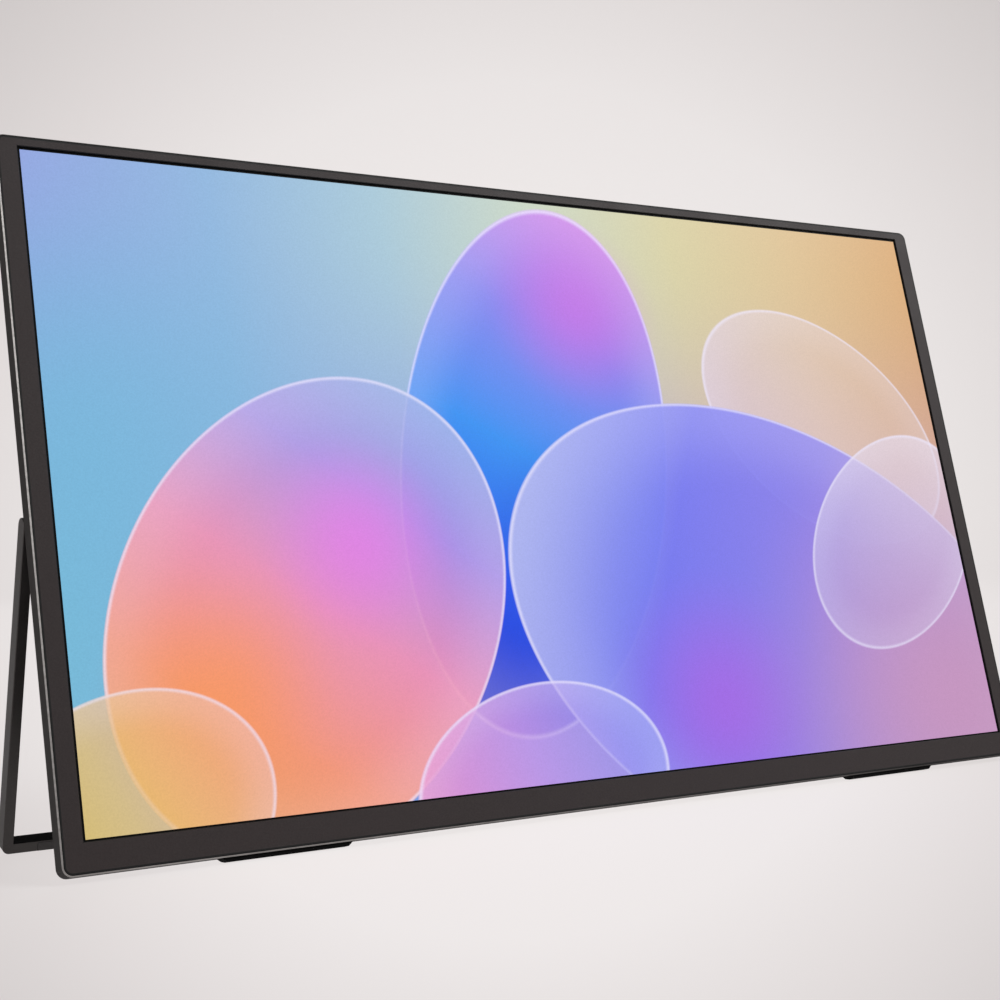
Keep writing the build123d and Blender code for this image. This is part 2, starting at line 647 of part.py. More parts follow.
def hdmi_socket():
    shell = along_x(hdmi_outline(0), HDMI_Y, socket_mouth(), HDMI_DEPTH)
    shell -= along_x(hdmi_outline(SHELL_WALL), HDMI_Y, socket_mouth(), HDMI_DEPTH - SHELL_WALL)
    tongue = Rectangle(HDMI_NECK - 2 * TONGUE_INSET, TONGUE_THICKNESS)
    return shell + along_x(tongue, HDMI_Y, socket_mouth() - TONGUE_INSET, HDMI_DEPTH - TONGUE_INSET)


def audio_jack():
    """Moulded headphone socket, round where it passes the wall."""
    nose = 2 * COVER_WALL
    body = Rectangle(JACK_WIDTH, JACK_HEIGHT)
    jack = along_x(Circle(JACK_HEIGHT / 2), JACK_Y, socket_mouth(), nose)
    jack += along_x(body, JACK_Y, socket_mouth() - nose, JACK_DEPTH - nose)
    return jack - along_x(Circle(JACK_BORE), JACK_Y, socket_mouth(), JACK_BORE_DEPTH)


# Speakers
def speaker(side):
    """Flat box speaker on the chassis, its cone facing the slots in the back."""
    x, y = SPEAKER_CENTRE
    depth = CHASSIS_BACK - HOUSING_INNER - GASKET_THICKNESS
    back = HOUSING_INNER + GASKET_THICKNESS
    case = block(*SPEAKER_SIZE, depth, side * x, y, back + depth / 2)
    cone = extrude(Pos(side * x, y, back) * SlotOverall(*CONE_SIZE), amount=CONE_DEPTH, taper=20)
    return case - cone


def speaker_gasket(side):
    x, y = SPEAKER_CENTRE
    width, height = SPEAKER_SIZE
    ring = Rectangle(width, height) - Rectangle(width - 2 * GASKET_WALL, height - 2 * GASKET_WALL)
    return extrude(Pos(side * x, y, HOUSING_INNER) * ring, amount=GASKET_THICKNESS)


# Keys and their switches
def switch_front():
    """Where the switches' plunger pockets open, clear of a key that is pressed right in."""
    return -wall_at(SOCKET_Z) + COVER_WALL + KEY_FLANGE_THICKNESS + KEY_TRAVEL + 3 * KEY_CLEARANCE


def key(y):
    """Key with a flange behind the wall and a stem that enters its switch."""
    outside = -wall_at(SOCKET_Z) - KEY_PROUD
    flange = -wall_at(SOCKET_Z) + COVER_WALL + KEY_CLEARANCE
    stem_end = switch_front() + SWITCH_POCKET - KEY_TRAVEL - KEY_CLEARANCE
    at = Pos(y, SOCKET_Z)
    cap = extrude(Plane.YZ.offset(outside) * at * key_outline(0), amount=flange - outside)
    skirt = Rectangle(KEY_WIDTH + 2 * KEY_FLANGE, KEY_HEIGHT + KEY_FLANGE)
    cap += extrude(Plane.YZ.offset(flange) * at * skirt, amount=KEY_FLANGE_THICKNESS)
    return cap + block(stem_end - flange, KEY_STEM, KEY_STEM, (stem_end + flange) / 2, y, SOCKET_Z)


def button_switches():
    """Side-pressed switches on the small board, one behind each key."""
    depth, width, height = SWITCH_SIZE
    z = BOARD_BACK - height / 2
    front = switch_front()
    switches = []
    pocket = KEY_STEM + 2 * KEY_CLEARANCE
    for y in KEY_Y.values():
        body = block(depth, width, height, front + depth / 2, y, z)
        switches.append(body - block(2 * SWITCH_POCKET, pocket, pocket, front, y, SOCKET_Z))
    return Compound(children=switches)


# Friction hinge, drawn for the right side
def ear_outer():
    return wall_at(HINGE_Z) - COVER_WALL - PIN_FLANGE_THICKNESS - 3 * EAR_GAP


def ear_inner():
    return ear_outer() - EAR_SHEET - 2 * EAR_GAP - CLIP_COUNT * CLIP_PITCH


def pin_end():
    return ear_inner() - EAR_SHEET - PIN_END


def hinge_pin():
    """Steel pin, pressed into the leg, with a flange and a groove for its ring."""
    pin = disc(PIN_RADIUS, pin_end(), LEG_INNER + PIN_SEAT_DEPTH)
    flange = ear_outer() + EAR_GAP
    pin += collar(PIN_FLANGE_RADIUS, flange, flange + PIN_FLANGE_THICKNESS)
    groove = ring_place()
    cutter = disc(2 * PIN_RADIUS, groove - RING_GAP, groove + RING_THICKNESS + RING_GAP)
    cutter -= disc(RING_GROOVE_RADIUS, groove - RING_GAP, groove + RING_THICKNESS + RING_GAP)
    return pin - cutter


def ring_place():
    return ear_inner() - EAR_SHEET - EAR_GAP - RING_THICKNESS


def pin_ring():
    """Open snap ring in the groove at the pin's inner end."""
    place = ring_place()
    ring = collar(PIN_FLANGE_RADIUS, place, place + RING_THICKNESS)
    ring -= disc(RING_GROOVE_RADIUS, place, place + RING_THICKNESS)
    mouth = PIN_FLANGE_RADIUS * 2
    return ring - block(2 * mouth, RING_GROOVE_RADIUS * 2, mouth, place, HINGE_Y, HINGE_Z - mouth / 2)


def upright(radius, foot_width, thickness, start):
    """Plate across x that stands on the bracket's leaf and reaches round the pin."""
    base = CHASSIS_BACK - HINGE_Z
    profile = RegularPolygon(radius, SMALL_SIDES)
    points = [(-radius, 0), (radius, 0), (foot_width / 2, base), (-foot_width / 2, base)]
    profile += make_face(Polyline(points, close=True))
    return extrude(Plane.YZ.offset(start) * Pos(HINGE_Y, HINGE_Z) * profile, amount=thickness)


def hinge_bracket():
    """Stamped steel leaf with two upright ears that the pin turns in."""
    width = ear_outer() - ear_inner() + 2 * EAR_SHEET
    middle = (ear_outer() + ear_inner()) / 2
    bracket = block(width, BRACKET_LENGTH, EAR_SHEET, middle, HINGE_Y, CHASSIS_BACK - EAR_SHEET / 2)
    for start in (ear_outer(), ear_inner()):
        bracket += upright(EAR_RADIUS, EAR_FOOT, -EAR_SHEET, start)
    bracket -= disc(PIN_RADIUS + PIN_RUNNING_GAP, ear_inner() - 2 * EAR_SHEET, ear_outer() + EAR_SHEET)
    for x, y in right_hinge_screws():
        bracket -= peg(SCREW_SHANK, x, y, CHASSIS_BACK, CHASSIS_BACK - EAR_SHEET)
    return bracket


def friction_clips():
    """Pack of split clips that squeeze the pin and stand on the leaf by their tails."""
    start = ear_inner() + EAR_GAP
    clips = []
    for count in range(CLIP_COUNT):
        x = start + EAR_GAP / 2 + count * CLIP_PITCH
        clip = upright(EAR_RADIUS, CLIP_TAIL, CLIP_THICKNESS, x)
        clip -= disc(PIN_RADIUS + CLIP_GRIP_GAP, x, x + CLIP_THICKNESS)
        clip -= block(3 * CLIP_THICKNESS, EAR_RADIUS * 2, CLIP_SLIT, x, HINGE_Y + EAR_RADIUS, HINGE_Z)
        leaf = CHASSIS_BACK - EAR_SHEET
        clip -= block(3 * CLIP_THICKNESS, EAR_FOOT, EAR_SHEET, x, HINGE_Y, leaf + EAR_SHEET / 2)
        clips.append(clip)
    return Compound(children=clips)


def right_hinge_screws():
    middle = (ear_outer() + ear_inner()) / 2
    reach_y = BRACKET_LENGTH / 2 - 2 * SCREW_HEAD
    reach_x = (ear_outer() - ear_inner()) / 2 - SCREW_HEAD
    return [(middle, HINGE_Y + reach_y), (middle - reach_x, HINGE_Y - reach_y),
            (middle + reach_x, HINGE_Y - reach_y)]


def hinge_screw_places():
    right = right_hinge_screws()
    return right + [(-x, y) for x, y in right]


def pivot_washer():
    """Thin plastic washer between the leg and the housing's wall."""
    start = LEG_INNER - WASHER_THICKNESS
    washer = collar(WASHER_RADIUS, start, LEG_INNER)
    return washer - disc(PIN_RADIUS + PIN_RUNNING_GAP, start, LEG_INNER)


# Screws
def screw(x, y, seat, tip, shank, head, head_height):
    """Pan-head screw driven from the back."""
    return peg(head, x, y, seat, seat - head_height) + peg(shank, x, y, tip, seat)


def small_screws(places, seat):
    tip = CHASSIS_FRONT - CHASSIS_GAP / 2
    return [screw(x, y, seat, tip, SCREW_SHANK, SCREW_HEAD, SCREW_HEAD_HEIGHT) for x, y in places]


def cover_screws():
    tip = CHASSIS_FRONT - CHASSIS_GAP / 2
    size = (COVER_SCREW_SHANK, COVER_SCREW_HEAD, COVER_SCREW_HEAD_HEIGHT)
    return [screw(x, y, cover_head_seat(), tip, *size) for x, y in COVER_SCREW_PLACES]


# Stand, drawn folded flat round the housing
def stand_loop():
    """Metal loop, flush with the frame's outline, with round leg ends and a pin hole in each."""
    height = HINGE_Y - BODY_BOTTOM
    reach = height + 2 * STAND_DEPTH
    middle = BODY_BOTTOM + reach / 2
    outline = RectangleRounded(2 * BODY_HALF_WIDTH, reach, STAND_CORNER)
    outline -= Rectangle(2 * LEG_INNER, reach - 2 * STAND_BAR)
    band = extrude(Pos(0, middle, STAND_FRONT - STAND_DEPTH) * outline, amount=STAND_DEPTH)
    half = STAND_DEPTH / 2
    side = Pos(HINGE_Y - height / 2, HINGE_Z) * Rectangle(height, STAND_DEPTH)
    side += Pos(HINGE_Y, HINGE_Z) * Circle(half)
    stand = band & extrude(Plane.YZ * side, amount=BODY_HALF_WIDTH, both=True)
    stand -= grip_space(GRIP_TOP_INSET)
    hole = disc(PIN_RADIUS, LEG_INNER, LEG_INNER + PIN_SEAT_DEPTH)
    return stand - hole - mirrored(hole)


def grip_space(top_inset):
    """Angle-shaped space on the front and underside of the bar, where the grip is seated."""
    length = 2 * (BODY_HALF_WIDTH - GRIP_INSET)
    top = BODY_BOTTOM + STAND_BAR - top_inset
    front = block(length, top - BODY_BOTTOM, GRIP_THICKNESS, 0,
                  (top + BODY_BOTTOM) / 2, STAND_FRONT - GRIP_THICKNESS / 2)
    under = block(length, GRIP_THICKNESS, GRIP_REACH, 0,
                  BODY_BOTTOM + GRIP_THICKNESS / 2, STAND_FRONT - GRIP_REACH / 2)
    return front + under


def stand_grip():
    """Rubber strip along the bar, a little proud of its underside."""
    length = 2 * (BODY_HALF_WIDTH - GRIP_INSET)
    proud = block(length, GRIP_PROUD, GRIP_REACH, 0,
                  BODY_BOTTOM - GRIP_PROUD / 2, STAND_FRONT - GRIP_REACH / 2)
    return grip_space(GRIP_TOP_INSET) + proud


# Standing on the ground
def folded_out(shape):
    """Turn the folded stand about its pins to the opened place."""
    pivot = Pos(0, HINGE_Y, HINGE_Z)
    return pivot * Rot(OPEN_ANGLE, 0, 0) * pivot.inverse() * shape


def lean():
    """Lean and lift that bring the feet and the grip onto level ground together."""
    foot_y = BODY_BOTTOM - FOOT_HEIGHT
    foot_z = -FOOT_SETBACK - FOOT_DEPTH + FOOT_FLAT
    angle = math.radians(OPEN_ANGLE)
    arm_y = BODY_BOTTOM - GRIP_PROUD - HINGE_Y
    arm_z = STAND_FRONT - GRIP_FLAT - HINGE_Z
    grip_y = HINGE_Y + arm_y * math.cos(angle) - arm_z * math.sin(angle)
    grip_z = HINGE_Z + arm_y * math.sin(angle) + arm_z * math.cos(angle)
    back = math.atan2(grip_y - foot_y, foot_z - grip_z)
    lift = -(foot_y * math.cos(back) + foot_z * math.sin(back))
    return math.degrees(back), lift


LEAN_ANGLE, LIFT = lean()
UPRIGHT = Pos(0, 0, LIFT) * Rot(90 - LEAN_ANGLE, 0, 0)


def on_ground(shape):
    """Take off what would reach below the ground, which leaves a level contact face."""
    size = 2 * BODY_HALF_WIDTH
    return shape - block(2 * size, size, size, 0, 0, -size / 2)


fixed = {
    "side_frame": side_frame(),
    "front_bezel": front_bezel(),
    "lcd_glass": lcd_glass(),
    "optical_sheets": optical_sheets(),
    "light_guide": light_guide(),
    "reflector_sheet": reflector_sheet(),
    "panel_frame": panel_frame(),
    "led_bar": led_bar(),
    "panel_tray": panel_tray(),
    "driver_board": driver_board(),
    "panel_ribbon": panel_ribbon(),
    "chassis_plate": chassis_plate(),
    "rear_cover": rear_cover(),
    "main_board": main_board(),
    "board_chips": board_chips(),
    "button_board": button_board(),
    "button_switches": button_switches(),
    "usb_c_socket_upper": usb_c_socket(USB_Y[0]),
    "usb_c_socket_lower": usb_c_socket(USB_Y[1]),
    "hdmi_socket": hdmi_socket(),
    "audio_jack": audio_jack(),
    "speaker_left": speaker(-1),
    "speaker_right": speaker(1),
    "speaker_gaskets": Compound(children=[speaker_gasket(-1), speaker_gasket(1)]),
    "hinge_bracket_left": mirrored(hinge_bracket()),
    "hinge_bracket_right": hinge_bracket(),
    "friction_clips_left": mirrored(friction_clips()),
    "friction_clips_right": friction_clips(),
    "cover_screws": Compound(children=cover_screws()),
    "hinge_screws": Compound(children=small_screws(hinge_screw_places(), CHASSIS_BACK - EAR_SHEET)),
    "board_screws": Compound(children=small_screws(board_places() + button_board_places(), BOARD_BACK)),
    "foot_left": foot(-1),
    "foot_right": foot(1),
}
for name, y in KEY_Y.items():
    fixed[name] = key(y)

stand = {
    "stand_loop": stand_loop(),
    "stand_grip": stand_grip(),
    "hinge_pin_left": mirrored(hinge_pin()),
    "hinge_pin_right": hinge_pin(),
    "pin_rings": Compound(children=[pin_ring(), mirrored(pin_ring())]),
    "pivot_washers": Compound(children=[pivot_washer(), mirrored(pivot_washer())]),
}

pieces = {name: UPRIGHT * shape for name, shape in fixed.items()}
pieces.update({name: UPRIGHT * folded_out(shape) for name, shape in stand.items()})
for name in ("foot_left", "foot_right", "stand_grip"):
    pieces[name] = on_ground(pieces[name])

boxes = [shape.bounding_box() for shape in pieces.values()]
middle_y = (min(box.min.Y for box in boxes) + max(box.max.Y for box in boxes)) / 2

os.makedirs("parts", exist_ok=True)
for name, shape in pieces.items():
    export_step(Pos(0, -middle_y, 0) * shape, f"parts/{name}.step")

pivot = Pos(0, -middle_y, 0) * UPRIGHT * Pos(0, HINGE_Y, HINGE_Z)
print("lean", round(LEAN_ANGLE, 3), "hinge axis at", pivot.position, "shift", round(-middle_y, 3))
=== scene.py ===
import math

import bmesh
import bpy
from mathutils import Matrix, Vector


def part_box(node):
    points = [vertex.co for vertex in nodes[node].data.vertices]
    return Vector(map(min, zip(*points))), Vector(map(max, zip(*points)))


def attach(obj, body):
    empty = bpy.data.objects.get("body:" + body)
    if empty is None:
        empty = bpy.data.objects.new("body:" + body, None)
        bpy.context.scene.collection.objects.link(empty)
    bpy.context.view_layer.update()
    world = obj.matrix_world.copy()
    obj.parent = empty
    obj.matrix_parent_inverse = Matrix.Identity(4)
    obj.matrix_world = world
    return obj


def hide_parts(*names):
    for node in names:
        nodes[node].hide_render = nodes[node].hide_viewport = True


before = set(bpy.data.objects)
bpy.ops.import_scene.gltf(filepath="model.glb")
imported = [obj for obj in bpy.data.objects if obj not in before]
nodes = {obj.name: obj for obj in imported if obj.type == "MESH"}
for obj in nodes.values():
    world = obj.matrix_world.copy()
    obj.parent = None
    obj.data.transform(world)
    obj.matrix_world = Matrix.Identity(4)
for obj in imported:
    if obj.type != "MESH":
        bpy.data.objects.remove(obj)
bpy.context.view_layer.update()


# Front glass of the display: one millimetre of glass whose border is printed black on the back.
# It lies on the moulded ring of the display and shows as a thin black line inside the bezel.
MM = 0.001
LIT_WIDTH = 344.16
LIT_HEIGHT = 193.59
GLASS_THICKNESS = 1.0
GLASS_DROP = 2.25
FILM_THICKNESS = 0.05

glass = nodes["lcd_glass"]
facing = max((face for face in glass.data.polygons if face.normal.y < 0), key=lambda face: face.area)
out = facing.normal.copy()
across = Vector((1, 0, 0))
up = out.cross(across)
glass_low, glass_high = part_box("lcd_glass")
glass_centre = (Vector(glass_low) + Vector(glass_high)) / 2
lit_centre = glass_centre + up * GLASS_DROP * MM + out * (GLASS_THICKNESS / 2 + FILM_THICKNESS) * MM
panel_axes = Matrix((across, up, out)).transposed().to_4x4()
panel = Matrix.Translation(lit_centre) @ panel_axes @ Matrix.Scale(MM, 4)


class Wire:
    """The output of a node, which takes part in sums as a number does."""

    def __init__(self, net, socket):
        self.net = net
        self.socket = socket

    def sum(self, operation, first, second):
        return self.net.add("ShaderNodeMath", {"operation": operation}, {0: first, 1: second})

    def __add__(self, other):
        return self.sum("ADD", self, other)

    def __radd__(self, other):
        return self.sum("ADD", other, self)

    def __sub__(self, other):
        return self.sum("SUBTRACT", self, other)

    def __rsub__(self, other):
        return self.sum("SUBTRACT", other, self)

    def __mul__(self, other):
        return self.sum("MULTIPLY", self, other)

    def __rmul__(self, other):
        return self.sum("MULTIPLY", other, self)

    def __truediv__(self, other):
        return self.sum("DIVIDE", self, other)

    def __pow__(self, other):
        return self.sum("POWER", self, other)

    def most(self, other):
        return self.sum("MAXIMUM", self, other)

    def least(self, other):
        return self.sum("MINIMUM", self, other)

    def size(self):
        """How far the value is from zero, whatever its sign."""
        return self.net.add("ShaderNodeMath", {"operation": "ABSOLUTE"}, {0: self})


class Net:
    """A tree of nodes, which all come from one method."""

    def __init__(self, tree):
        self.tree = tree

    def feed(self, socket, value):
        for part in value if isinstance(value, list) else [value]:
            if isinstance(part, Wire):
                self.tree.links.new(part.socket, socket)
            else:
                socket.default_value = part

    def add(self, kind, settings, values, output=0):
        node = self.tree.nodes.new(kind)
        for name, value in settings.items():
            if name == "stops":
                self.set_stops(node.color_ramp, value)
            else:
                setattr(node, name, value)
        for name, value in values.items():
            self.feed(node.inputs[name], value)
        return Wire(self, node.outputs[output])

    def set_stops(self, ramp, stops):
        while len(ramp.elements) < len(stops):
            ramp.elements.new(0.5)
        for element, (place, color) in zip(ramp.elements, stops):
            element.position = place
            element.color = (*color, 1.0)


class Finish(Net):
    """A material in the making."""

    def __init__(self, name, color, roughness=0.5, **constants):
        self.material = bpy.data.materials.new(name)
        self.material.use_nodes = True
        super().__init__(self.material.node_tree)
        self.shader = self.tree.nodes["Principled BSDF"]
        self.set(**{"Base Color": (*color, 1.0), "Roughness": roughness})
        self.set(**{key.replace("_", " "): value for key, value in constants.items()})

    def set(self, **values):
        for name, value in values.items():
            self.feed(self.shader.inputs[name], value)

    def place(self):
        return self.add("ShaderNodeTexCoord", {}, {}, "Object")

    def along(self, axis):
        """Millimetres from the middle of the lit area, along one of the leaning axes."""
        values = {0: self.place(), 1: axis}
        distance = self.add("ShaderNodeVectorMath", {"operation": "DOT_PRODUCT"}, values, "Value")
        return (distance - lit_centre.dot(axis)) / MM

    def noise(self, scale, detail=2.0, stretch=(1, 1, 1)):
        """Noise from 0 to 1 with the given number of bumps to a millimetre."""
        place = self.add("ShaderNodeVectorMath", {"operation": "MULTIPLY"}, {0: self.place(), 1: stretch})
        values = {"Vector": place, "Scale": scale / MM, "Detail": detail}
        return self.add("ShaderNodeTexNoise", {}, values, "Fac")

    def cells(self, scale, output="Distance"):
        """Cell pattern with the given number of cells to a millimetre."""
        values = {"Vector": self.place(), "Scale": scale / MM}
        return self.add("ShaderNodeTexVoronoi", {}, values, output)

    def between(self, value, low, high, start=0.0, end=1.0, smooth=False):
        """Follows the value from low to high, and stays level outside them."""
        kind = "SMOOTHSTEP" if smooth else "LINEAR"
        values = {"Value": value, "From Min": low, "From Max": high, "To Min": start, "To Max": end}
        return self.add("ShaderNodeMapRange", {"interpolation_type": kind}, values)

    def mix(self, factor, first, second, blend="MIX"):
        colors = [value if isinstance(value, Wire) else (*value, 1.0) for value in (first, second)]
        settings = {"data_type": "RGBA", "blend_type": blend}
        return self.add("ShaderNodeMix", settings, {0: factor, 6: colors[0], 7: colors[1]}, 2)

    def bump(self, height, depth):
        """Relief of the given depth in millimetres."""
        self.set(Normal=self.add("ShaderNodeBump", {}, {"Height": height, "Distance": depth * MM}))


def srgb(red, green, blue):
    """Linear colour from the 0 to 255 figures of a colour chart."""
    levels = [value / 255 for value in (red, green, blue)]
    return tuple(v / 12.92 if v <= 0.04045 else ((v + 0.055) / 1.055) ** 2.4 for v in levels)


def paint(names, finish):
    for name in names:
        nodes[name].data.materials.clear()
        nodes[name].data.materials.append(finish.material)


border_ink = Finish("border_ink", srgb(4, 4, 5), 0.5, Specular_IOR_Level=0.06)
border_ink.set(Roughness=border_ink.between(border_ink.noise(0.3), 0.3, 0.7, 0.46, 0.56))
border_ink.bump(border_ink.noise(6.0), 0.002)
paint(["lcd_glass"], border_ink)


# Polarizing film: a thin matte plastic film laminated to the front of the glass, through which the
# picture shines. The picture is a generic one of soft glassy pebbles over a wash of colours.
FILM_LEFT_INSET = 0.18
FILM_TOP_INSET = 0.26
PEBBLE_BLUR = 0.0016
PEBBLE_RIM = 0.0062
PEBBLE_GLOW_START = 0.62
PEBBLE_GLOW = 0.13

film_mesh = bpy.data.meshes.new("polarizing_film")
sheet = bmesh.new()
bmesh.ops.create_cube(sheet, size=1.0)
film_size = (LIT_WIDTH - FILM_LEFT_INSET, LIT_HEIGHT - FILM_TOP_INSET, FILM_THICKNESS)
film_place = Matrix.Translation((FILM_LEFT_INSET / 2, -FILM_TOP_INSET / 2, -FILM_THICKNESS / 2))
film_fit = panel @ film_place @ Matrix.Diagonal((*film_size, 1))
bmesh.ops.transform(sheet, matrix=film_fit, verts=sheet.verts)
sheet.to_mesh(film_mesh)
sheet.free()
film = bpy.data.objects.new("polarizing_film", film_mesh)
bpy.context.scene.collection.objects.link(film)
picture = Finish("lit_picture", (0.003, 0.003, 0.003), 0.42, Specular_IOR_Level=0.15)
picture_x = picture.along(across) / LIT_HEIGHT
picture_y = picture.along(up) / LIT_HEIGHT


def toward(degrees, x, y):
    """Distance across the picture in one direction, where 1 is the picture's height."""
    turn = math.radians(degrees)
    return x * math.cos(turn) + y * math.sin(turn)


def wash(value, low, high, colors):
    stops = [(step / (len(colors) - 1), srgb(*color)) for step, color in enumerate(colors)]
    level = picture.between(value, low, high)
    return picture.add("ShaderNodeValToRGB", {"stops": stops}, {"Fac": level}, "Color")


def tint(under, middle, reach, color, strength):
    """A soft spot of colour that fades out at its reach."""
    x = picture_x - middle[0]
    y = picture_y - middle[1]
    near = picture.between((x * x + y * y) ** 0.5, 0.0, reach, strength, 0.0, True)
    return picture.mix(near, under, srgb(*color))


def pebble(under, middle, radii, lean, fill, fade, cover, rim):
    """A translucent oval over what is under it, with a thin light rim and a glow inside the rim."""
    x = picture_x - middle[0]
    y = picture_y - middle[1]
    long = toward(lean, x, y) / radii[0]
    short = toward(lean + 90, x, y) / radii[1]
    reach = (long * long + short * short) ** 0.5
    soft = PEBBLE_BLUR / min(radii)
    inside = picture.between(reach, 1 - soft, 1 + soft, 1.0, 0.0)
    slope = toward(fade, x, y)
    opacity = picture.between(slope, -max(radii), max(radii), cover[0], cover[1], True)
    laid = picture.mix(inside * opacity, under, fill(slope))
    edge = picture.between(reach, 1 - PEBBLE_RIM / min(radii), 1 - 0.001, 0.0, 1.0, True)
    glow = picture.between(reach, PEBBLE_GLOW_START, 1.0, 0.0, 1.0, True)
    return picture.mix(inside * (edge * rim + glow * PEBBLE_GLOW), laid, srgb(238, 234, 255))


def shades(reach, *colors):
    return lambda slope: wash(slope, -reach, reach, colors)


high_sky = wash(picture_x, -0.9, 0.9, [
    (148, 164, 224), (142, 180, 220), (164, 196, 212), (196, 208, 190), (210, 202, 158),
    (216, 188, 142), (214, 168, 116)])
low_sky = wash(picture_x, -0.9, 0.9, [
    (118, 184, 214), (124, 176, 220), (128, 150, 226), (154, 144, 216), (190, 160, 196),
    (208, 170, 176), (200, 158, 166)])
design = picture.mix(picture.between(picture_y, 0.44, -0.3, 0.0, 1.0, True), high_sky, low_sky)
design = tint(design, (-0.88, 0.1), 0.5, (104, 186, 216), 0.5)
shell = shades(0.3, (214, 194, 216), (220, 200, 200), (222, 196, 172))
design = pebble(design, (0.6, 0.1), (0.3, 0.2), 150, shell, 20, (0.7, 0.35), 0.5)
blue = shades(0.46, (22, 40, 196), (24, 78, 232), (30, 140, 240), (120, 120, 236), (196, 104, 226))
design = pebble(design, (-0.06, 0.03), (0.47, 0.26), 74, blue, 62, (1.0, 0.92), 0.62)
design = tint(design, (0.06, 0.3), 0.2, (206, 96, 222), 0.55)
design = tint(design, (-0.02, -0.1), 0.2, (20, 50, 214), 0.5)
coral = shades(0.42, (232, 158, 66), (244, 148, 110), (238, 142, 176), (176, 146, 226), (134, 168, 224))
design = pebble(design, (-0.5, -0.2), (0.4, 0.3), 52, coral, 56, (0.97, 0.84), 0.6)
design = tint(design, (-0.42, -0.1), 0.19, (232, 116, 232), 0.62)
design = tint(design, (-0.66, -0.3), 0.2, (250, 150, 70), 0.5)
violet = shades(0.6, (190, 152, 192), (168, 142, 214), (132, 122, 232), (112, 116, 238), (158, 168, 234))
design = pebble(design, (0.44, -0.3), (0.62, 0.4), 158, violet, 158, (0.9, 0.96), 0.55)
design = tint(design, (0.24, -0.4), 0.26, (176, 92, 224), 0.6)
design = tint(design, (0.76, -0.42), 0.52, (202, 148, 184), 0.72)
milk = shades(0.26, (176, 158, 214), (208, 196, 226), (226, 214, 226))
design = pebble(design, (0.72, -0.12), (0.25, 0.17), 40, milk, 80, (0.3, 0.6), 0.5)
honey = shades(0.22, (206, 186, 70), (228, 188, 96), (238, 170, 140))
design = pebble(design, (-0.82, -0.48), (0.22, 0.17), 20, honey, 30, (0.95, 0.6), 0.5)
rose = shades(0.24, (236, 140, 196), (196, 150, 232), (130, 150, 240))
design = pebble(design, (-0.14, -0.5), (0.24, 0.16), 8, rose, 20, (0.85, 0.6), 0.6)
speckle = picture.between(picture.noise(2.0, 1.0), 0.3, 0.7, 0.96, 1.03)
grey = picture.add("ShaderNodeCombineColor", {}, {0: speckle, 1: speckle, 2: speckle})
picture.set(**{"Emission Color": picture.mix(1.0, design, grey, "MULTIPLY"), "Emission Strength": 1.0})
film.data.materials.append(picture.material)
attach(film, "monitor")


# Sheets behind the glass: a diffuser with rows of fine prisms, the clear acrylic light guide with
# printed dots, and a white reflector. They lie loose on each other inside the moulded ring.
def prisms(name, color, pitch, relief):
    """White plastic film with fine ridges along the screen."""
    finish = Finish(name, srgb(*color), 0.4)
    ridge = finish.add("ShaderNodeMath", {"operation": "PINGPONG"}, {0: finish.along(up), 1: pitch})
    cloud = finish.between(finish.noise(0.03, 3.0), 0.3, 0.7)
    dull = tuple(level * 0.93 for level in srgb(*color))
    finish.set(**{"Base Color": finish.mix(cloud, dull, srgb(*color))})
    finish.bump(ridge, relief)
    return finish


paint(["optical_sheets"], prisms("diffuser_film", (236, 238, 238), 0.12, 0.05))
paint(["reflector_sheet"], prisms("reflector_film", (242, 243, 244), 0.9, 0.003))

acrylic = Finish("light_guide_acrylic", srgb(216, 226, 226), 0.08, IOR=1.49, Transmission_Weight=0.6)
dots = acrylic.between(acrylic.cells(0.9), 0.18, 0.24, 1.0, 0.0)
acrylic.set(**{"Base Color": acrylic.mix(dots, srgb(216, 226, 226), srgb(246, 248, 248)),
               "Roughness": acrylic.between(dots, 0.0, 1.0, 0.07, 0.6)})
paint(["light_guide"], acrylic)


# Moulded ring: white glass-filled polycarbonate that holds the glass, the sheets and the lamps in
# line. The lamps are moulded chips with a yellow phosphor face, soldered to a flexible strip.
def moulded(name, color, roughness, grain=3.0, relief=0.006, **constants):
    """Moulded plastic or rubber: faint flow mottling and the fine grain of the mould's face."""
    light = srgb(*color)
    dark = tuple(level * 0.84 for level in light)
    finish = Finish(name, light, roughness, **constants)
    flow = finish.between(finish.noise(0.06, 4.0), 0.3, 0.7)
    uneven = finish.between(finish.noise(0.5), 0.3, 0.7, roughness - 0.05, roughness + 0.05)
    finish.set(**{"Base Color": finish.mix(flow, dark, light), "Roughness": uneven})
    finish.bump(finish.noise(grain, 3.0), relief)
    return finish


paint(["panel_frame"], moulded("ring_plastic", (224, 224, 222), 0.5))

LAMP_COUNT = 16
LAMP_WIDTH = 7.0
PHOSPHOR_FADE = 0.2
lamp_strip = Finish("lamp_strip", srgb(232, 226, 200), 0.45)
lamp_pitch = LIT_WIDTH / LAMP_COUNT
from_lamp = lamp_strip.add("ShaderNodeMath", {"operation": "PINGPONG"}, {
    0: lamp_strip.along(across), 1: lamp_pitch / 2})
phosphor_edge = lamp_pitch / 2 - LAMP_WIDTH / 2
phosphor = lamp_strip.between(from_lamp, phosphor_edge, phosphor_edge + PHOSPHOR_FADE)
lamp_strip.set(**{"Base Color": lamp_strip.mix(phosphor, srgb(238, 236, 230), srgb(226, 190, 74))})
lamp_strip.bump(lamp_strip.noise(4.0), 0.01)
paint(["led_bar"], lamp_strip)


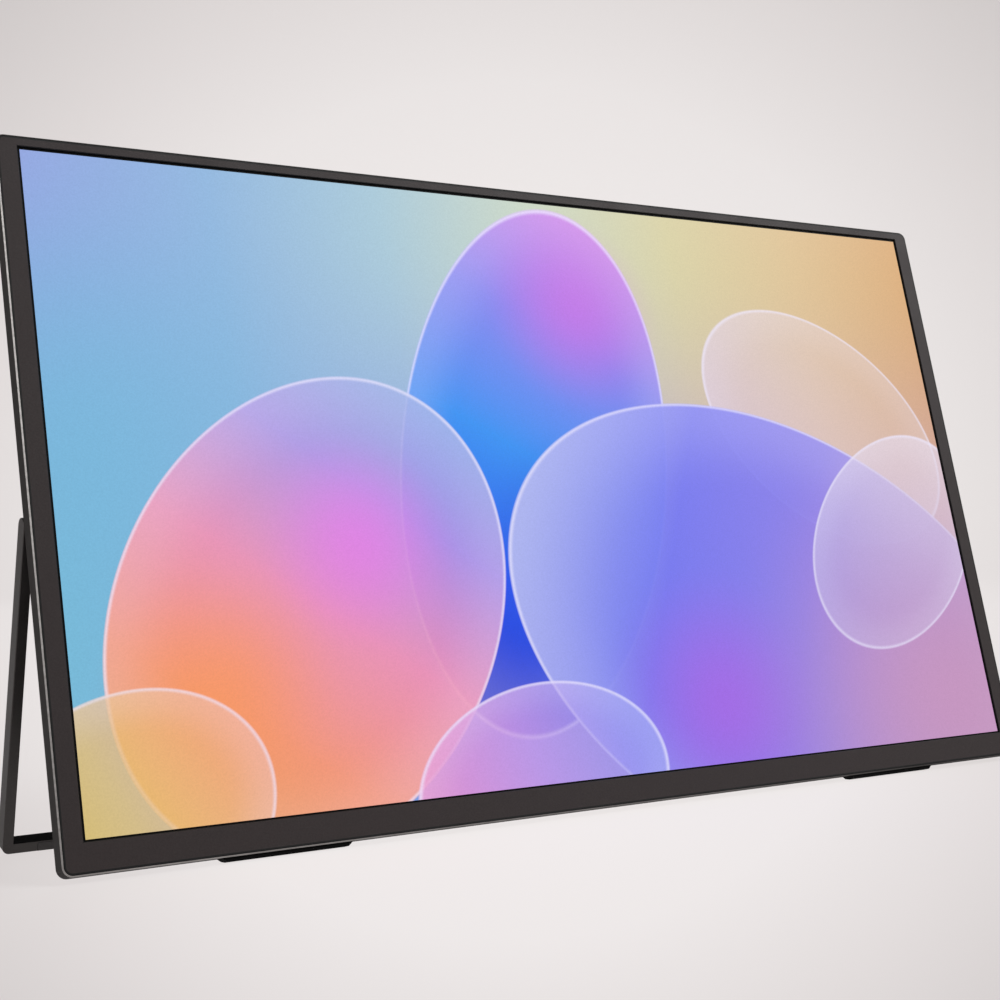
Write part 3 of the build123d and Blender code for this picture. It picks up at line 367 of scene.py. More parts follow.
# Steel tray: pressed from zinc-coated sheet, it wraps the display's back and edges. The driver
# board hangs below it on the panel's ribbon of amber film with fine copper lines.
zinc = Finish("tray_steel", srgb(168, 170, 172), 0.38, Metallic=1.0)
spangle = zinc.cells(0.16, "Color")
flower = zinc.between(spangle, 0.0, 1.0)
zinc.set(**{"Base Color": zinc.mix(flower, srgb(148, 151, 154), srgb(182, 184, 186)),
            "Roughness": zinc.between(spangle, 0.0, 1.0, 0.3, 0.48)})
zinc.bump(zinc.noise(0.8), 0.01)
paint(["panel_tray"], zinc)


TRACK_LENGTH = 5.3
TRACK_PITCH = 0.9
TRACK_WIDTH = 0.1


def laminate(name, mask):
    """Circuit board: solder mask over copper tracks, which show as slightly raised lighter lines."""
    finish = Finish(name, srgb(*mask), 0.32)
    tracks = finish.add("ShaderNodeTexBrick", {"offset": 0.37}, {
        "Vector": finish.place(), "Scale": 1.0, "Brick Width": TRACK_LENGTH * MM,
        "Row Height": TRACK_PITCH * MM, "Mortar Size": TRACK_WIDTH * MM, "Mortar Smooth": 0.2}, "Fac")
    light = tuple(min(1.0, level * 1.7) for level in srgb(*mask))
    finish.set(**{"Base Color": finish.mix(tracks, light, srgb(*mask))})
    finish.bump(finish.between(tracks, 0.0, 1.0, 1.0, 0.0) + finish.noise(2.0) * 0.2, 0.03)
    return finish


boards = laminate("board_laminate", (22, 74, 52))
paint(["driver_board", "main_board", "button_board"], boards)

ribbon_film = Finish("ribbon_film", srgb(176, 118, 44), 0.3, Coat_Weight=0.5)
lines = ribbon_film.between(ribbon_film.add("ShaderNodeMath", {"operation": "PINGPONG"}, {
    0: ribbon_film.along(across), 1: 0.25}), 0.11, 0.14)
ribbon_film.set(**{"Base Color": ribbon_film.mix(lines, srgb(196, 138, 58), srgb(150, 92, 30))})
ribbon_film.bump(lines, 0.02)
paint(["panel_ribbon"], ribbon_film)


# Side frame: an aluminium band bent round the display, blasted and anodised dark. Its front edge
# is cut at a slant afterwards, which leaves a bright line of bare metal outside a narrow lip, which
# is painted near black as painted shade of the seam. Along the underside the bare line is painted
# darker toward the right, a painted shade in place of a darker reflection there.
BEZEL_FRONT = 0.55
CUT_DEPTH = 0.4
CUT_FADE = 0.01
CUT_END = (0.012, 0.004)
LIP_SHADE_EDGE = (0.006, 0.003)
UNDERSIDE = (-105.0, -104.0)
SHADE_FROM = -150.0
SHADE_TO = 130.0
SHADE_MOST = 0.92
frame_metal = Finish("frame_metal", srgb(56, 53, 52), 0.6, Specular_IOR_Level=0.1)
depth = frame_metal.along(out)
cut_start = BEZEL_FRONT - CUT_DEPTH
cut = frame_metal.between(depth, cut_start - CUT_FADE, cut_start + CUT_FADE)
cut = cut * frame_metal.between(depth, BEZEL_FRONT - CUT_END[0], BEZEL_FRONT - CUT_END[1], 1.0, 0.0)
anodised = frame_metal.mix(frame_metal.between(frame_metal.noise(0.05, 3.0), 0.35, 0.65),
                           srgb(45, 42, 41), srgb(53, 50, 49))
cutter_marks = frame_metal.between(frame_metal.noise(0.9, 2.0, (0.3, 1, 1)), 0.3, 0.7)
bare = frame_metal.mix(cutter_marks, srgb(138, 135, 133), srgb(162, 159, 157))
# Painted shade: the bare line under the frame is darkened toward the right.
below = frame_metal.between(frame_metal.along(up), *UNDERSIDE, 1.0, 0.0)
painted_shade_right = frame_metal.between(frame_metal.along(across), SHADE_FROM, SHADE_TO, 0.0, SHADE_MOST)
bare = frame_metal.mix(below * painted_shade_right, bare, srgb(48, 46, 45))
# Painted shade: the flat front of the lip is painted near black for the seam with the bezel.
lip = frame_metal.between(depth, BEZEL_FRONT - LIP_SHADE_EDGE[0], BEZEL_FRONT - LIP_SHADE_EDGE[1])
band = frame_metal.mix(cut, anodised, bare)
frame_metal.set(**{"Base Color": frame_metal.mix(lip, band, srgb(5, 5, 5)),
                   "Metallic": cut, "Roughness": frame_metal.between(cut, 0.0, 1.0, 0.6, 0.4)})
frame_metal.bump(frame_metal.noise(7.0, 2.0), 0.004)
paint(["side_frame"], frame_metal)


# Front bezel: thin black plastic, moulded with a fine spark-eroded grain and pressed into the
# frame's lip. It stands over the edge of the glass all round. Its opening's bevel and inner wall,
# its outer wall and a band along its outer edge are painted near black: painted shade of the gaps
# round the picture and at the seam with the frame.
BODY_HALF_WIDTH = 178.83
BODY_HALF_HEIGHT = 103.245
BODY_MIDDLE = -2.65
BODY_CORNER = 2.8
SEAM_SHADE_INSET = 1.0
SEAM_SHADE_FADE = 0.06
FLAT_START = 0.03
FLAT_END = 0.005
bezel_plastic = Finish("bezel_plastic", srgb(38, 32, 32), 0.6, Specular_IOR_Level=0.3)
mottle = bezel_plastic.between(bezel_plastic.noise(0.05, 4.0), 0.3, 0.7)
pepper = bezel_plastic.between(bezel_plastic.noise(2.2, 2.0), 0.35, 0.65)
even = bezel_plastic.mix(mottle, srgb(37, 29, 29), srgb(41, 33, 33))
plain = bezel_plastic.mix(pepper, even, srgb(45, 37, 37))
past_side = bezel_plastic.along(across).size() - (BODY_HALF_WIDTH - BODY_CORNER)
past_end = (bezel_plastic.along(up) - BODY_MIDDLE).size() - (BODY_HALF_HEIGHT - BODY_CORNER)
in_corner = (past_side.most(0.0) ** 2.0 + past_end.most(0.0) ** 2.0) ** 0.5
from_edge = BODY_CORNER - in_corner - past_side.most(past_end).least(0.0)
bezel_depth = bezel_plastic.along(out)
# Painted shade: the bezel's inner walls, outer wall and outer band go near black below.
clear_of_painted_shade = bezel_plastic.between(bezel_depth, BEZEL_FRONT - FLAT_START, BEZEL_FRONT - FLAT_END)
clear_of_painted_shade = clear_of_painted_shade * bezel_plastic.between(from_edge, SEAM_SHADE_INSET, SEAM_SHADE_INSET + SEAM_SHADE_FADE)
bezel_plastic.set(**{"Base Color": bezel_plastic.mix(clear_of_painted_shade, srgb(4, 4, 4), plain),
                     "Roughness": bezel_plastic.between(mottle, 0.0, 1.0, 0.58, 0.66)})
bezel_plastic.bump(bezel_plastic.noise(4.5, 3.0), 0.007)
paint(["front_bezel"], bezel_plastic)


# Chassis plate: stamped aluminium sheet behind the display, brushed along its length. The hinges,
# boards and speakers are screwed to it, and its windows save weight.
def rolled(name, color, roughness, relief=0.003, lines=0.04):
    """Rolled or drawn metal with fine lines along the screen, duller where it has been handled."""
    light = srgb(*color)
    dark = tuple(level * 0.8 for level in light)
    finish = Finish(name, light, roughness, Metallic=1.0)
    brushed = finish.between(finish.noise(4.0, 3.0, (lines, 1, 1)), 0.3, 0.7)
    handled = finish.between(finish.noise(0.08, 3.0), 0.35, 0.7)
    finish.set(**{"Base Color": finish.mix(brushed, dark, light),
                  "Roughness": roughness + handled * 0.14})
    finish.bump(brushed, relief)
    return finish


paint(["chassis_plate"], rolled("chassis_metal", (186, 187, 190), 0.34))


# Main board, button board and what is soldered to them: the picture processor under its tinned
# shield, memory chips, coils, side-pressed switches, and the sockets along the right edge.
chip_resin = Finish("chip_resin", srgb(34, 34, 36), 0.5)
SHIELD_RIGHT = 126.0
SHIELD_LEFT = 98.0
SHIELD_FADE = 0.1
chip_x = chip_resin.along(across)
on_shield = chip_resin.between(chip_x, SHIELD_LEFT, SHIELD_LEFT + SHIELD_FADE)
on_shield = on_shield * chip_resin.between(chip_x, SHIELD_RIGHT, SHIELD_RIGHT + SHIELD_FADE, 1.0, 0.0)
matte = chip_resin.between(chip_resin.noise(3.0), 0.3, 0.7)
resin = chip_resin.mix(matte, srgb(28, 28, 30), srgb(42, 42, 44))
chip_resin.set(**{"Base Color": chip_resin.mix(on_shield, resin, srgb(190, 190, 188)),
                  "Metallic": on_shield, "Roughness": 0.5 - on_shield * 0.2})
chip_resin.bump(chip_resin.noise(5.0), 0.006)
paint(["board_chips"], chip_resin)
paint(["button_switches", "audio_jack"], moulded("switch_resin", (26, 26, 27), 0.5))

SOCKET_DEPTH = -7.58
TONGUE_HALF = 0.45
UPPER_USB = 63.0
LOWER_USB = 49.0
SMALL_HDMI = 33.0
TONGUES = ((UPPER_USB, 3.35), (LOWER_USB, 3.35), (SMALL_HDMI, 3.5))
shell_steel = Finish("socket_shell", srgb(196, 194, 190), 0.28, Metallic=1.0)
off_middle = shell_steel.along(out) - SOCKET_DEPTH
in_tongue = shell_steel.between(off_middle ** 2.0, TONGUE_HALF ** 2, TONGUE_HALF ** 2 + 0.02, 1.0, 0.0)
over = 0.0
for height, half in TONGUES:
    off_middle = shell_steel.along(up) - height
    over = over + shell_steel.between(off_middle ** 2.0, half ** 2, half ** 2 + 0.1, 1.0, 0.0)
tongue = in_tongue * over
drawn = shell_steel.between(shell_steel.noise(5.0, 2.0, (0.06, 1, 1)), 0.3, 0.7)
shell = shell_steel.mix(drawn, srgb(176, 174, 170), srgb(206, 204, 200))
shell_steel.set(**{"Base Color": shell_steel.mix(tongue, shell, srgb(24, 24, 25)),
                   "Metallic": 1 - tongue, "Roughness": shell_steel.between(tongue, 0.0, 1.0, 0.28, 0.5)})
shell_steel.bump(drawn, 0.003)
paint(["usb_c_socket_upper", "usb_c_socket_lower", "hdmi_socket"], shell_steel)


# Contacts on the sockets' tongues: rows of thin gilt spring blades, stamped from one strip and
# moulded into both faces of each tongue.
CREASE_ANGLE = 34


def evaluated(piece):
    """What the live modifiers make of a piece, as a plain mesh with smooth but crisp-edged faces."""
    mesh = bpy.data.meshes.new_from_object(piece.evaluated_get(bpy.context.evaluated_depsgraph_get()))
    mesh.name = piece.name
    mesh.polygons.foreach_set("use_smooth", [True] * len(mesh.polygons))
    mesh.set_sharp_from_angle(angle=math.radians(CREASE_ANGLE))
    piece.modifiers.clear()
    piece.data = mesh
    return piece


def new_tree(name, sockets):
    """Node group with the named inputs, a Geometry output, and a wire for each input."""
    tree = bpy.data.node_groups.new(name, "GeometryNodeTree")
    for label, kind in sockets:
        tree.interface.new_socket(label, in_out="INPUT", socket_type="NodeSocket" + kind)
    tree.interface.new_socket("Result", in_out="OUTPUT", socket_type="NodeSocketGeometry")
    entry = tree.nodes.new("NodeGroupInput")
    net = Net(tree)
    return net, {label: Wire(net, entry.outputs[label]) for label, kind in sockets}


def close_tree(net, instances, material):
    """End a tree in real geometry with its material."""
    real = net.add("GeometryNodeRealizeInstances", {}, {0: instances})
    done = net.add("GeometryNodeSetMaterial", {}, {0: real, "Material": material})
    net.tree.links.new(done.socket, net.tree.nodes.new("NodeGroupOutput").inputs[0])
    return net.tree


def grown(name, places, tree, values):
    """Piece that a tree makes from a set of points, with the tree's inputs set by their names."""
    points = bpy.data.meshes.new(name)
    points.from_pydata([tuple(place) for place in places], [], [])
    piece = bpy.data.objects.new(name, points)
    bpy.context.scene.collection.objects.link(piece)
    modifier = piece.modifiers.new(name, "NODES")
    modifier.node_group = tree
    for item in tree.interface.items_tree:
        if item.in_out == "INPUT" and item.name in values:
            modifier[item.identifier] = values[item.name]
    return evaluated(piece)


net, entry = new_tree("contact_row", [
    ("Points", "Geometry"), ("Blade Width", "Float"), ("Blade Length", "Float"), ("Thickness", "Float"),
    ("Lean", "Float"), ("Finish", "Material")])
size = net.add("ShaderNodeCombineXYZ", {}, {
    0: entry["Blade Length"], 1: entry["Blade Width"], 2: entry["Thickness"]})
blade = net.add("GeometryNodeMeshCube", {}, {"Size": size})
turn = net.add("ShaderNodeCombineXYZ", {}, {0: entry["Lean"]})
row = net.add("GeometryNodeInstanceOnPoints", {}, {
    "Points": entry["Points"], "Instance": blade, "Rotation": turn})
contact_tree = close_tree(net, row, entry["Finish"])

SOCKET_MOUTH = 174.69
CONTACT_INSET = 3.2
CONTACT_FACE = 0.36
CONTACT_WIDTH = 0.26
CONTACT_LENGTH = 2.6
CONTACT_THICKNESS = 0.06
gilt = Finish("gilt_contact", srgb(206, 166, 84), 0.3, Metallic=1.0)
gilt.bump(gilt.noise(6.0), 0.002)
spots = [(SOCKET_MOUTH - CONTACT_INSET, height + (step - (count - 1) / 2) * pitch, SOCKET_DEPTH + face)
         for height, count, pitch in ((UPPER_USB, 12, 0.5), (LOWER_USB, 12, 0.5), (SMALL_HDMI, 10, 0.6))
         for step in range(count) for face in (-CONTACT_FACE, CONTACT_FACE)]
panel_lean = -math.asin(out.z)
contacts = grown("socket_contacts", [panel @ Vector(spot) for spot in spots], contact_tree, {
    "Blade Width": CONTACT_WIDTH * MM, "Blade Length": CONTACT_LENGTH * MM,
    "Thickness": CONTACT_THICKNESS * MM, "Lean": math.pi / 2 + panel_lean, "Finish": gilt.material})
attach(contacts, "monitor")


# Speakers: flat moulded boxes with a doped paper cone, screwed face down to the chassis. A gasket
# of closed-cell foam seals each to the inside of the cover, round its slots.
speaker_plastic = moulded("speaker_plastic", (30, 30, 31), 0.55)
paint(["speaker_left", "speaker_right"], speaker_plastic)
foam = Finish("gasket_foam", srgb(28, 28, 29), 0.9)
pores = foam.cells(2.2)
foam.set(**{"Base Color": foam.mix(foam.between(pores, 0.1, 0.5), srgb(14, 14, 15), srgb(40, 40, 41))})
foam.bump(pores, 0.12)
paint(["speaker_gaskets"], foam)


# Friction hinges: a stamped steel bracket with two ears, a pack of sprung clips between them, and
# a turned pin with a flange. They are blued and oiled, and a nylon washer keeps the leg off the wall.
hinge_steel = rolled("hinge_steel", (128, 126, 124), 0.3, 0.004, 1.0)
paint(["hinge_bracket_left", "hinge_bracket_right", "friction_clips_left", "friction_clips_right",
       "hinge_pin_left", "hinge_pin_right", "pin_rings"], hinge_steel)
paint(["pivot_washers"], moulded("washer_nylon", (206, 202, 190), 0.45))


# Screws: black zinc-plated pan heads with a cross recess. Short ones hold the hinges and boards
# to the chassis, and six longer ones hold the cover from its counterbores.
HEAD_SIDES = 28
SHANK_SIDES = 16
RIM_SHARE = 0.62
CROWN_SHARE = 0.74
SHANK_SINK = 0.499
RECESS_REACH = 1.15
RECESS_FLOOR = 0.95
LARGEST_TWIST = 1.5
SHANK_ROOM = 0.97
WELD_DISTANCE = 0.001


def loose_parts(node):
    """The separate solids of a node, each as the corners of its points in the panel's axes."""
    shape = bmesh.new()
    shape.from_mesh(nodes[node].data)
    bmesh.ops.remove_doubles(shape, verts=shape.verts, dist=WELD_DISTANCE * MM)
    upright = panel.inverted()
    waiting = set(shape.verts)
    parts = []
    while waiting:
        group = [waiting.pop()]
        for vertex in group:
            near = [edge.other_vert(vertex) for edge in vertex.link_edges]
            group += [other for other in near if other in waiting]
            waiting.difference_update(near)
        points = [upright @ vertex.co for vertex in group]
        parts.append([(min(column), max(column)) for column in zip(*points)])
    shape.free()
    return sorted(parts)


net, entry = new_tree("recessed_screw", [
    ("Places", "Geometry"), ("Head Radius", "Float"), ("Head Height", "Float"), ("Shank Radius", "Float"),
    ("Shank Length", "Float"), ("Recess Width", "Float"), ("Lean", "Float"), ("Finish", "Material")])
rim = net.add("GeometryNodeMeshCone", {}, {
    "Vertices": HEAD_SIDES, "Radius Top": entry["Head Radius"], "Radius Bottom": entry["Head Radius"],
    "Depth": entry["Head Height"] * RIM_SHARE})
crown = net.add("GeometryNodeMeshCone", {}, {
    "Vertices": HEAD_SIDES, "Radius Top": entry["Head Radius"] * CROWN_SHARE,
    "Radius Bottom": entry["Head Radius"], "Depth": entry["Head Height"] * (1 - RIM_SHARE)})
crown = net.add("GeometryNodeTransform", {}, {0: crown, "Translation": net.add(
    "ShaderNodeCombineXYZ", {}, {2: entry["Head Height"] * RIM_SHARE})})
shank = net.add("GeometryNodeMeshCylinder", {}, {
    "Vertices": SHANK_SIDES, "Radius": entry["Shank Radius"], "Depth": entry["Shank Length"]})
shank = net.add("GeometryNodeTransform", {}, {0: shank, "Translation": net.add(
    "ShaderNodeCombineXYZ", {}, {2: entry["Shank Length"] * -SHANK_SINK})})
blank = net.add("GeometryNodeMeshBoolean", {"operation": "UNION"}, {"Mesh 2": [rim, crown, shank]})
wings = []
wing_length = entry["Head Radius"] * RECESS_REACH
for long, wide in ((wing_length, entry["Recess Width"]), (entry["Recess Width"], wing_length)):
    size = net.add("ShaderNodeCombineXYZ", {}, {0: long, 1: wide, 2: entry["Head Height"]})
    wing = net.add("GeometryNodeMeshCube", {}, {"Size": size})
    wings.append(net.add("GeometryNodeTransform", {}, {0: wing, "Translation": net.add(
        "ShaderNodeCombineXYZ", {}, {2: entry["Head Height"] * RECESS_FLOOR})}))
screw = net.add("GeometryNodeMeshBoolean", {"operation": "DIFFERENCE"}, {
    "Mesh 1": blank, "Mesh 2": wings})
turn = net.add("ShaderNodeCombineXYZ", {}, {0: entry["Lean"]})
row = net.add("GeometryNodeInstanceOnPoints", {}, {
    "Points": entry["Places"], "Instance": screw, "Rotation": turn})
twist = net.add("FunctionNodeRandomValue", {"data_type": "FLOAT"}, {
    2: 0.0, 3: LARGEST_TWIST, "Seed": 7}, 1)
row = net.add("GeometryNodeRotateInstances", {}, {"Instances": row, "Rotation": net.add(
    "ShaderNodeCombineXYZ", {}, {2: twist}), "Local Space": True})
screw_tree = close_tree(net, row, entry["Finish"])

black_zinc = Finish("black_zinc", srgb(58, 57, 58), 0.36, Metallic=1.0)
worn = black_zinc.between(black_zinc.noise(2.2, 3.0), 0.52, 0.72)
black_zinc.set(**{"Base Color": black_zinc.mix(worn, srgb(48, 47, 48), srgb(112, 110, 108)),
                  "Roughness": black_zinc.between(black_zinc.noise(3.0), 0.3, 0.7, 0.3, 0.44)})
black_zinc.bump(black_zinc.noise(6.0), 0.004)

for node, name, radius, height, shank, recess in (
        ("hinge_screws", "hinge_bracket_screws", 1.76, 0.9, 0.8, 0.5),
        ("board_screws", "board_pan_screws", 1.76, 0.9, 0.8, 0.5),
        ("cover_screws", "cover_pan_screws", 1.95, 1.1, 1.0, 0.6)):
    places = []
    for (left, right), (low, high), (back, tip) in loose_parts(node):
        length = tip - back - height
        places.append(panel @ Vector(((left + right) / 2, (low + high) / 2, back + height)))
    screws = grown(name, places, screw_tree, {
        "Head Radius": radius * MM, "Head Height": height * MM, "Shank Radius": shank * MM * SHANK_ROOM,
        "Shank Length": length * MM, "Recess Width": recess * MM,
        "Lean": math.pi / 2 + panel_lean + math.pi, "Finish": black_zinc.material})
    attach(screws, "monitor")
    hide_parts(node)


# Rear cover: one moulding in the bezel's plastic with a coarser grain. Its ledge snaps into the
# frame's groove, and its raised housing carries the vents, speaker slots and openings.
cover_plastic = Finish("cover_plastic", srgb(42, 39, 38), 0.55)
rubbed = cover_plastic.between(cover_plastic.noise(0.03, 4.0), 0.45, 0.75)
texture = cover_plastic.cells(1.6)
grain = cover_plastic.between(texture, 0.0, 0.6)
cover_plastic.set(**{"Base Color": cover_plastic.mix(grain, srgb(38, 35, 34), srgb(47, 44, 43)),
                     "Roughness": 0.6 - rubbed * 0.1})
cover_plastic.bump(texture * 0.6 + cover_plastic.noise(3.0, 3.0), 0.012)
paint(["rear_cover"], cover_plastic)


# Stand loop: flat aluminium bar, bent into a rectangle and welded, its edges tumbled smooth before
# it is blasted and anodised. The faces on the inside of the loop are painted near black, a painted
# shade where the monitor keeps the light off them. The legs' round ends are pressed onto the hinge pins.
SMALL_FACET = 4.0
FLAT_BEND = 0.5
SHARP_BEND = 30
LOOP_EDGE = 0.22
ROUND_STEPS = 2
ROUND_SHAPE = 0.6
FACING_IN = 0.3


def softened(name, node, body, width, finish):
    """Copy of a solid with its sharp edges rounded, which stands in the solid's place."""
    shape = bmesh.new()
    shape.from_mesh(nodes[node].data)
    bmesh.ops.remove_doubles(shape, verts=shape.verts, dist=WELD_DISTANCE * MM)
    limit = math.radians(FLAT_BEND)
    bmesh.ops.dissolve_limit(shape, angle_limit=limit, verts=shape.verts, edges=shape.edges)
    bend = math.radians(SHARP_BEND)
    sharp = [edge for edge in shape.edges if edge.is_manifold and edge.calc_face_angle() > bend]
    made = bmesh.ops.bevel(shape, geom=sharp, offset=width * MM, segments=ROUND_STEPS,
                           profile=ROUND_SHAPE, affect="EDGES", clamp_overlap=True)
    rounded = set(made["faces"])
    for face in shape.faces:
        face.smooth = face in rounded or face.calc_area() < SMALL_FACET * MM * MM
    mesh = bpy.data.meshes.new(name)
    shape.to_mesh(mesh)
    shape.free()
    mesh.materials.append(finish.material)
    piece = bpy.data.objects.new(name, mesh)
    bpy.context.scene.collection.objects.link(piece)
    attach(piece, body)
    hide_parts(node)
    return mesh


stand_metal = Finish("stand_metal", srgb(76, 73, 72), 0.45, Metallic=1.0)
blasted = stand_metal.between(stand_metal.noise(3.2, 3.0), 0.35, 0.65)
cloud = stand_metal.between(stand_metal.noise(0.06, 3.0), 0.3, 0.7)
speckled = stand_metal.mix(blasted, srgb(72, 69, 68), srgb(82, 79, 78))
stand_metal.set(**{"Base Color": stand_metal.mix(cloud, speckled, srgb(84, 82, 81)),
                   "Roughness": stand_metal.between(cloud, 0.0, 1.0, 0.42, 0.5)})
stand_metal.bump(blasted, 0.0015)
loop_mesh = softened("folding_loop", "stand_loop", "stand", LOOP_EDGE, stand_metal)

# Painted shade: the loop's inward faces get a near-black finish for the shade the monitor casts on them.
inner_painted_shade = Finish("stand_inner_black", srgb(9, 8, 8), 0.7, Specular_IOR_Level=0.06)
inner_shade_tone = inner_painted_shade.between(inner_painted_shade.noise(3.2, 3.0), 0.35, 0.65)
inner_painted_shade.set(**{"Base Color": inner_painted_shade.mix(inner_shade_tone, srgb(7, 6, 6), srgb(11, 10, 10))})
inner_painted_shade.bump(inner_shade_tone, 0.0015)
loop_mesh.materials.append(inner_painted_shade.material)
loop_middle = sum((vertex.co for vertex in loop_mesh.vertices), Vector()) / len(loop_mesh.vertices)
for face in loop_mesh.polygons:
    inward = (loop_middle - face.center).normalized()
    if face.normal.dot(inward) > FACING_IN:
        face.material_index = 1


# Rubber: the grip is a strip let into the front and underside of the loop's bar, and the two feet
# are glued into pockets under the frame. All three are ground level where they meet the table.
# Grip and feet are one dark rubber; the grip's lighter grey is painted light that makes up for the
# shade under the monitor.
GRIP_EDGE = 0.12
FOOT_EDGE = 0.15
rubber = moulded("foot_rubber", (9, 9, 9), 0.75, 2.4, 0.012, Specular_IOR_Level=0.06)
# Painted light: the grip's grey is lighter than the feet's rubber to make up for its shade.
grip_rubber = moulded("grip_rubber", (74, 71, 70), 0.5, 2.4, 0.012, Specular_IOR_Level=0.7)
softened("bar_grip", "stand_grip", "stand", GRIP_EDGE, grip_rubber)
softened("left_pad", "foot_left", "monitor", FOOT_EDGE, rubber)
softened("right_pad", "foot_right", "monitor", FOOT_EDGE, rubber)


# Keys: three small moulded caps in the left wall of the housing, with rounded edges. Each has a
# flange behind the wall, and its stem presses a switch.
KEY_EDGE = 0.22
key_plastic = moulded("key_plastic", (44, 42, 41), 0.45, 4.0, 0.004)
for key in ("power", "plus", "minus"):
    softened(key + "_key_cap", key + "_button", key + "_key", KEY_EDGE, key_plastic)


# Seamless paper in a wide round bowl, which stands for the studio and isn't part of the monitor.
# For the camera, and in part in reflections, it shows its own white, with a painted pool of light
# that is paler round the viewing line.
CAMERA_PLACE = (-314.4, -123.8, 430.2)
CAMERA_AIM = (-28.0, -10.8, 0.0)
PAPER_FLAT = 2.7
PAPER_BEND = 0.8
PAPER_TOP = 1.8
PAPER_SIDES = 96
FLAT_RINGS = 6
BEND_RINGS = 16
MIRRORED_WHITE = 0.65
OWN_WHITE = 0.88

outline = [(PAPER_FLAT * step / FLAT_RINGS, 0.0) for step in range(1, FLAT_RINGS + 1)]
for step in range(1, BEND_RINGS + 1):
    turn = math.pi / 2 * step / BEND_RINGS
    outline.append((PAPER_FLAT + PAPER_BEND * math.sin(turn), PAPER_BEND * (1 - math.cos(turn))))
outline.append((PAPER_FLAT + PAPER_BEND, PAPER_TOP))
bowl = bmesh.new()
middle = bowl.verts.new((0, 0, 0))
around = [math.tau * side / PAPER_SIDES for side in range(PAPER_SIDES)]
rings = [[bowl.verts.new((reach * math.cos(turn), reach * math.sin(turn), height)) for turn in around]
         for reach, height in outline]
for side in range(PAPER_SIDES):
    after = (side + 1) % PAPER_SIDES
    bowl.faces.new((middle, rings[0][side], rings[0][after]))
    for near, far in zip(rings, rings[1:]):
        bowl.faces.new((near[side], far[side], far[after], near[after]))
paper_mesh = bpy.data.meshes.new("paper")
bowl.to_mesh(paper_mesh)
bowl.free()
paper_mesh.polygons.foreach_set("use_smooth", [True] * len(paper_mesh.polygons))
paper = bpy.data.objects.new("paper", paper_mesh)
bpy.context.scene.collection.objects.link(paper)

paper_white = Finish("paper_white", srgb(228, 226, 226), 0.9)
eye = panel @ Vector(CAMERA_PLACE)
view_line = ((panel @ Vector(CAMERA_AIM)) - eye).normalized()
from_eye = paper_white.add("ShaderNodeVectorMath", {"operation": "SUBTRACT"}, {
    0: paper_white.place(), 1: eye})
ahead = paper_white.add("ShaderNodeVectorMath", {"operation": "DOT_PRODUCT"}, {
    0: from_eye, 1: view_line}, "Value")
distance = paper_white.add("ShaderNodeVectorMath", {"operation": "LENGTH"}, {0: from_eye}, "Value")
aside = (distance * distance - ahead * ahead) ** 0.5
off_line = paper_white.add("ShaderNodeMath", {"operation": "ARCTAN2"}, {0: aside, 1: ahead})
level = paper_white.between(off_line, 0.0, 1.0)
# Painted pool of light: the paper's white is paler near the viewing line and darker away from it.
glow = paper_white.add("ShaderNodeValToRGB", {"stops": [
    (0.0, srgb(246, 242, 241)), (0.16, srgb(246, 241, 240)), (0.25, srgb(241, 236, 235)),
    (0.33, srgb(228, 222, 221)), (0.41, srgb(212, 206, 205)), (1.0, srgb(182, 178, 177))]}, {
        "Fac": level}, "Color")
seen = paper_white.add("ShaderNodeLightPath", {}, {}, "Is Camera Ray")
shiny = paper_white.add("ShaderNodeLightPath", {}, {}, "Is Glossy Ray")
through = paper_white.add("ShaderNodeLightPath", {}, {}, "Is Transmission Ray")
shown = paper_white.add("ShaderNodeMath", {"operation": "ADD", "use_clamp": True}, {
    0: seen + shiny * MIRRORED_WHITE, 1: through})
shine = paper_white.add("ShaderNodeEmission", {}, {"Color": glow, "Strength": 1.0})
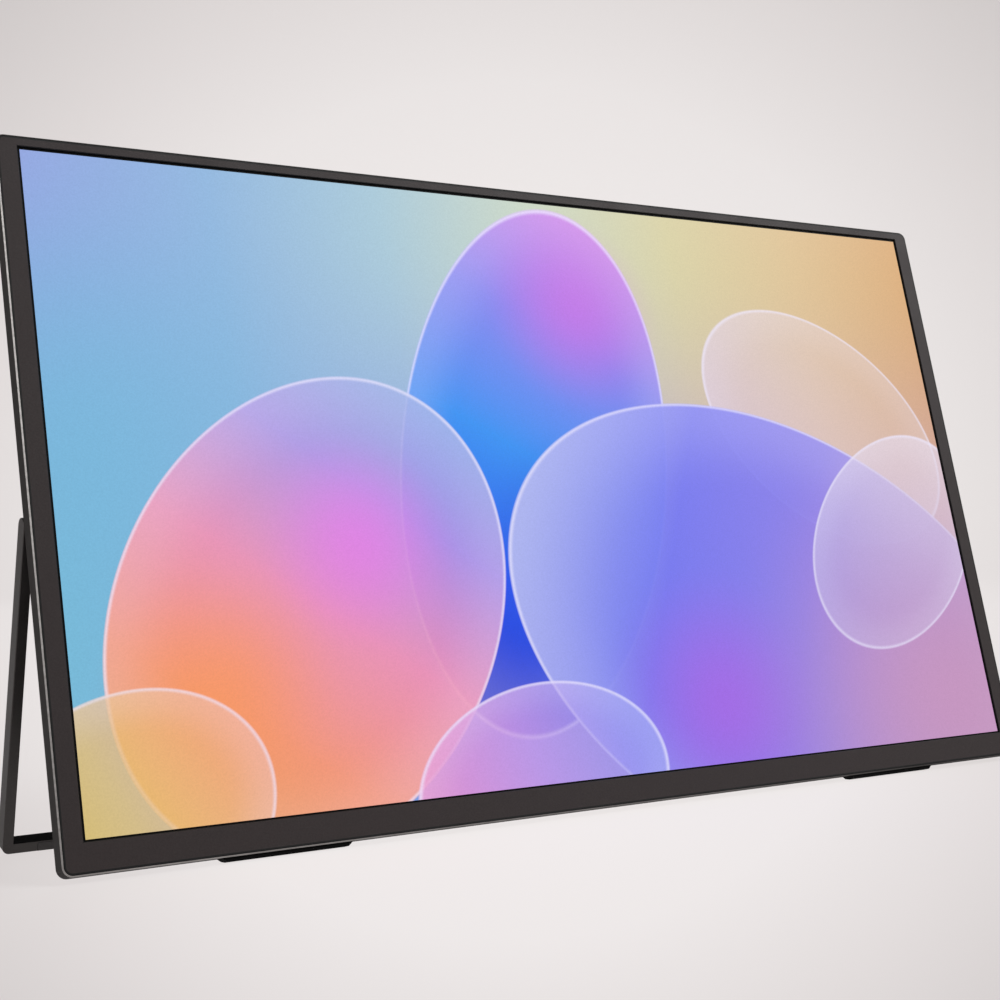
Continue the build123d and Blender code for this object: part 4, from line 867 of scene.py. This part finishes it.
cover = paper_white.add("ShaderNodeMixShader", {}, {
    0: shown * OWN_WHITE, 1: Wire(paper_white, paper_white.shader.outputs[0]), 2: shine})
paper_white.tree.links.new(cover.socket, paper_white.tree.nodes["Material Output"].inputs[0])
paper.data.materials.append(paper_white.material)


# Soft light: a large lamp high on the right, a smaller one on the left, and a low one behind with
# a narrow beam. The white surround adds a little from every side.
SURROUND = 0.12


def softbox(name, place, width, height, power, spread=180):
    lamp = bpy.data.lights.new(name, "AREA")
    lamp.shape = "RECTANGLE"
    lamp.size = width
    lamp.size_y = height
    lamp.energy = power
    lamp.spread = math.radians(spread)
    source = bpy.data.objects.new(name, lamp)
    source.location = place
    source.rotation_euler = (Vector((0, 0, 0.1)) - Vector(place)).to_track_quat("-Z", "Y").to_euler()
    bpy.context.scene.collection.objects.link(source)


softbox("high_lamp", (1.6, -1.1, 2.0), 1.3, 1.3, 66.0)
softbox("left_lamp", (-1.9, -0.1, 1.0), 1.0, 0.8, 9.0)
softbox("back_lamp", (1.1, 2.3, 0.5), 1.0, 0.5, 5.0, 80)
world = bpy.data.worlds.new("surround")
world.use_nodes = True
world.node_tree.nodes["Background"].inputs["Color"].default_value = (1.0, 1.0, 1.0, 1.0)
world.node_tree.nodes["Background"].inputs["Strength"].default_value = SURROUND
bpy.context.scene.world = world
bpy.context.scene.view_settings.view_transform = "Standard"


# Camera, at the place worked out from the outline of the lit area. It stands low on the left,
# looks level, and is turned a little about its own axis.
CAMERA_ROLL = 1.23
LENS = 60.53
SHIFT = (-0.0056, 0.0113)

lens = bpy.data.cameras.new("camera")
lens.sensor_width = 36.0
lens.lens = LENS
lens.shift_x, lens.shift_y = SHIFT
lens.clip_start = 0.01
camera = bpy.data.objects.new("camera", lens)
bpy.context.scene.collection.objects.link(camera)
camera.location = eye
roll = Matrix.Rotation(math.radians(-CAMERA_ROLL), 3, "Z").to_quaternion()
turned = view_line.to_track_quat("-Z", "Y") @ roll
camera.rotation_euler = turned.to_euler()
bpy.context.scene.camera = camera
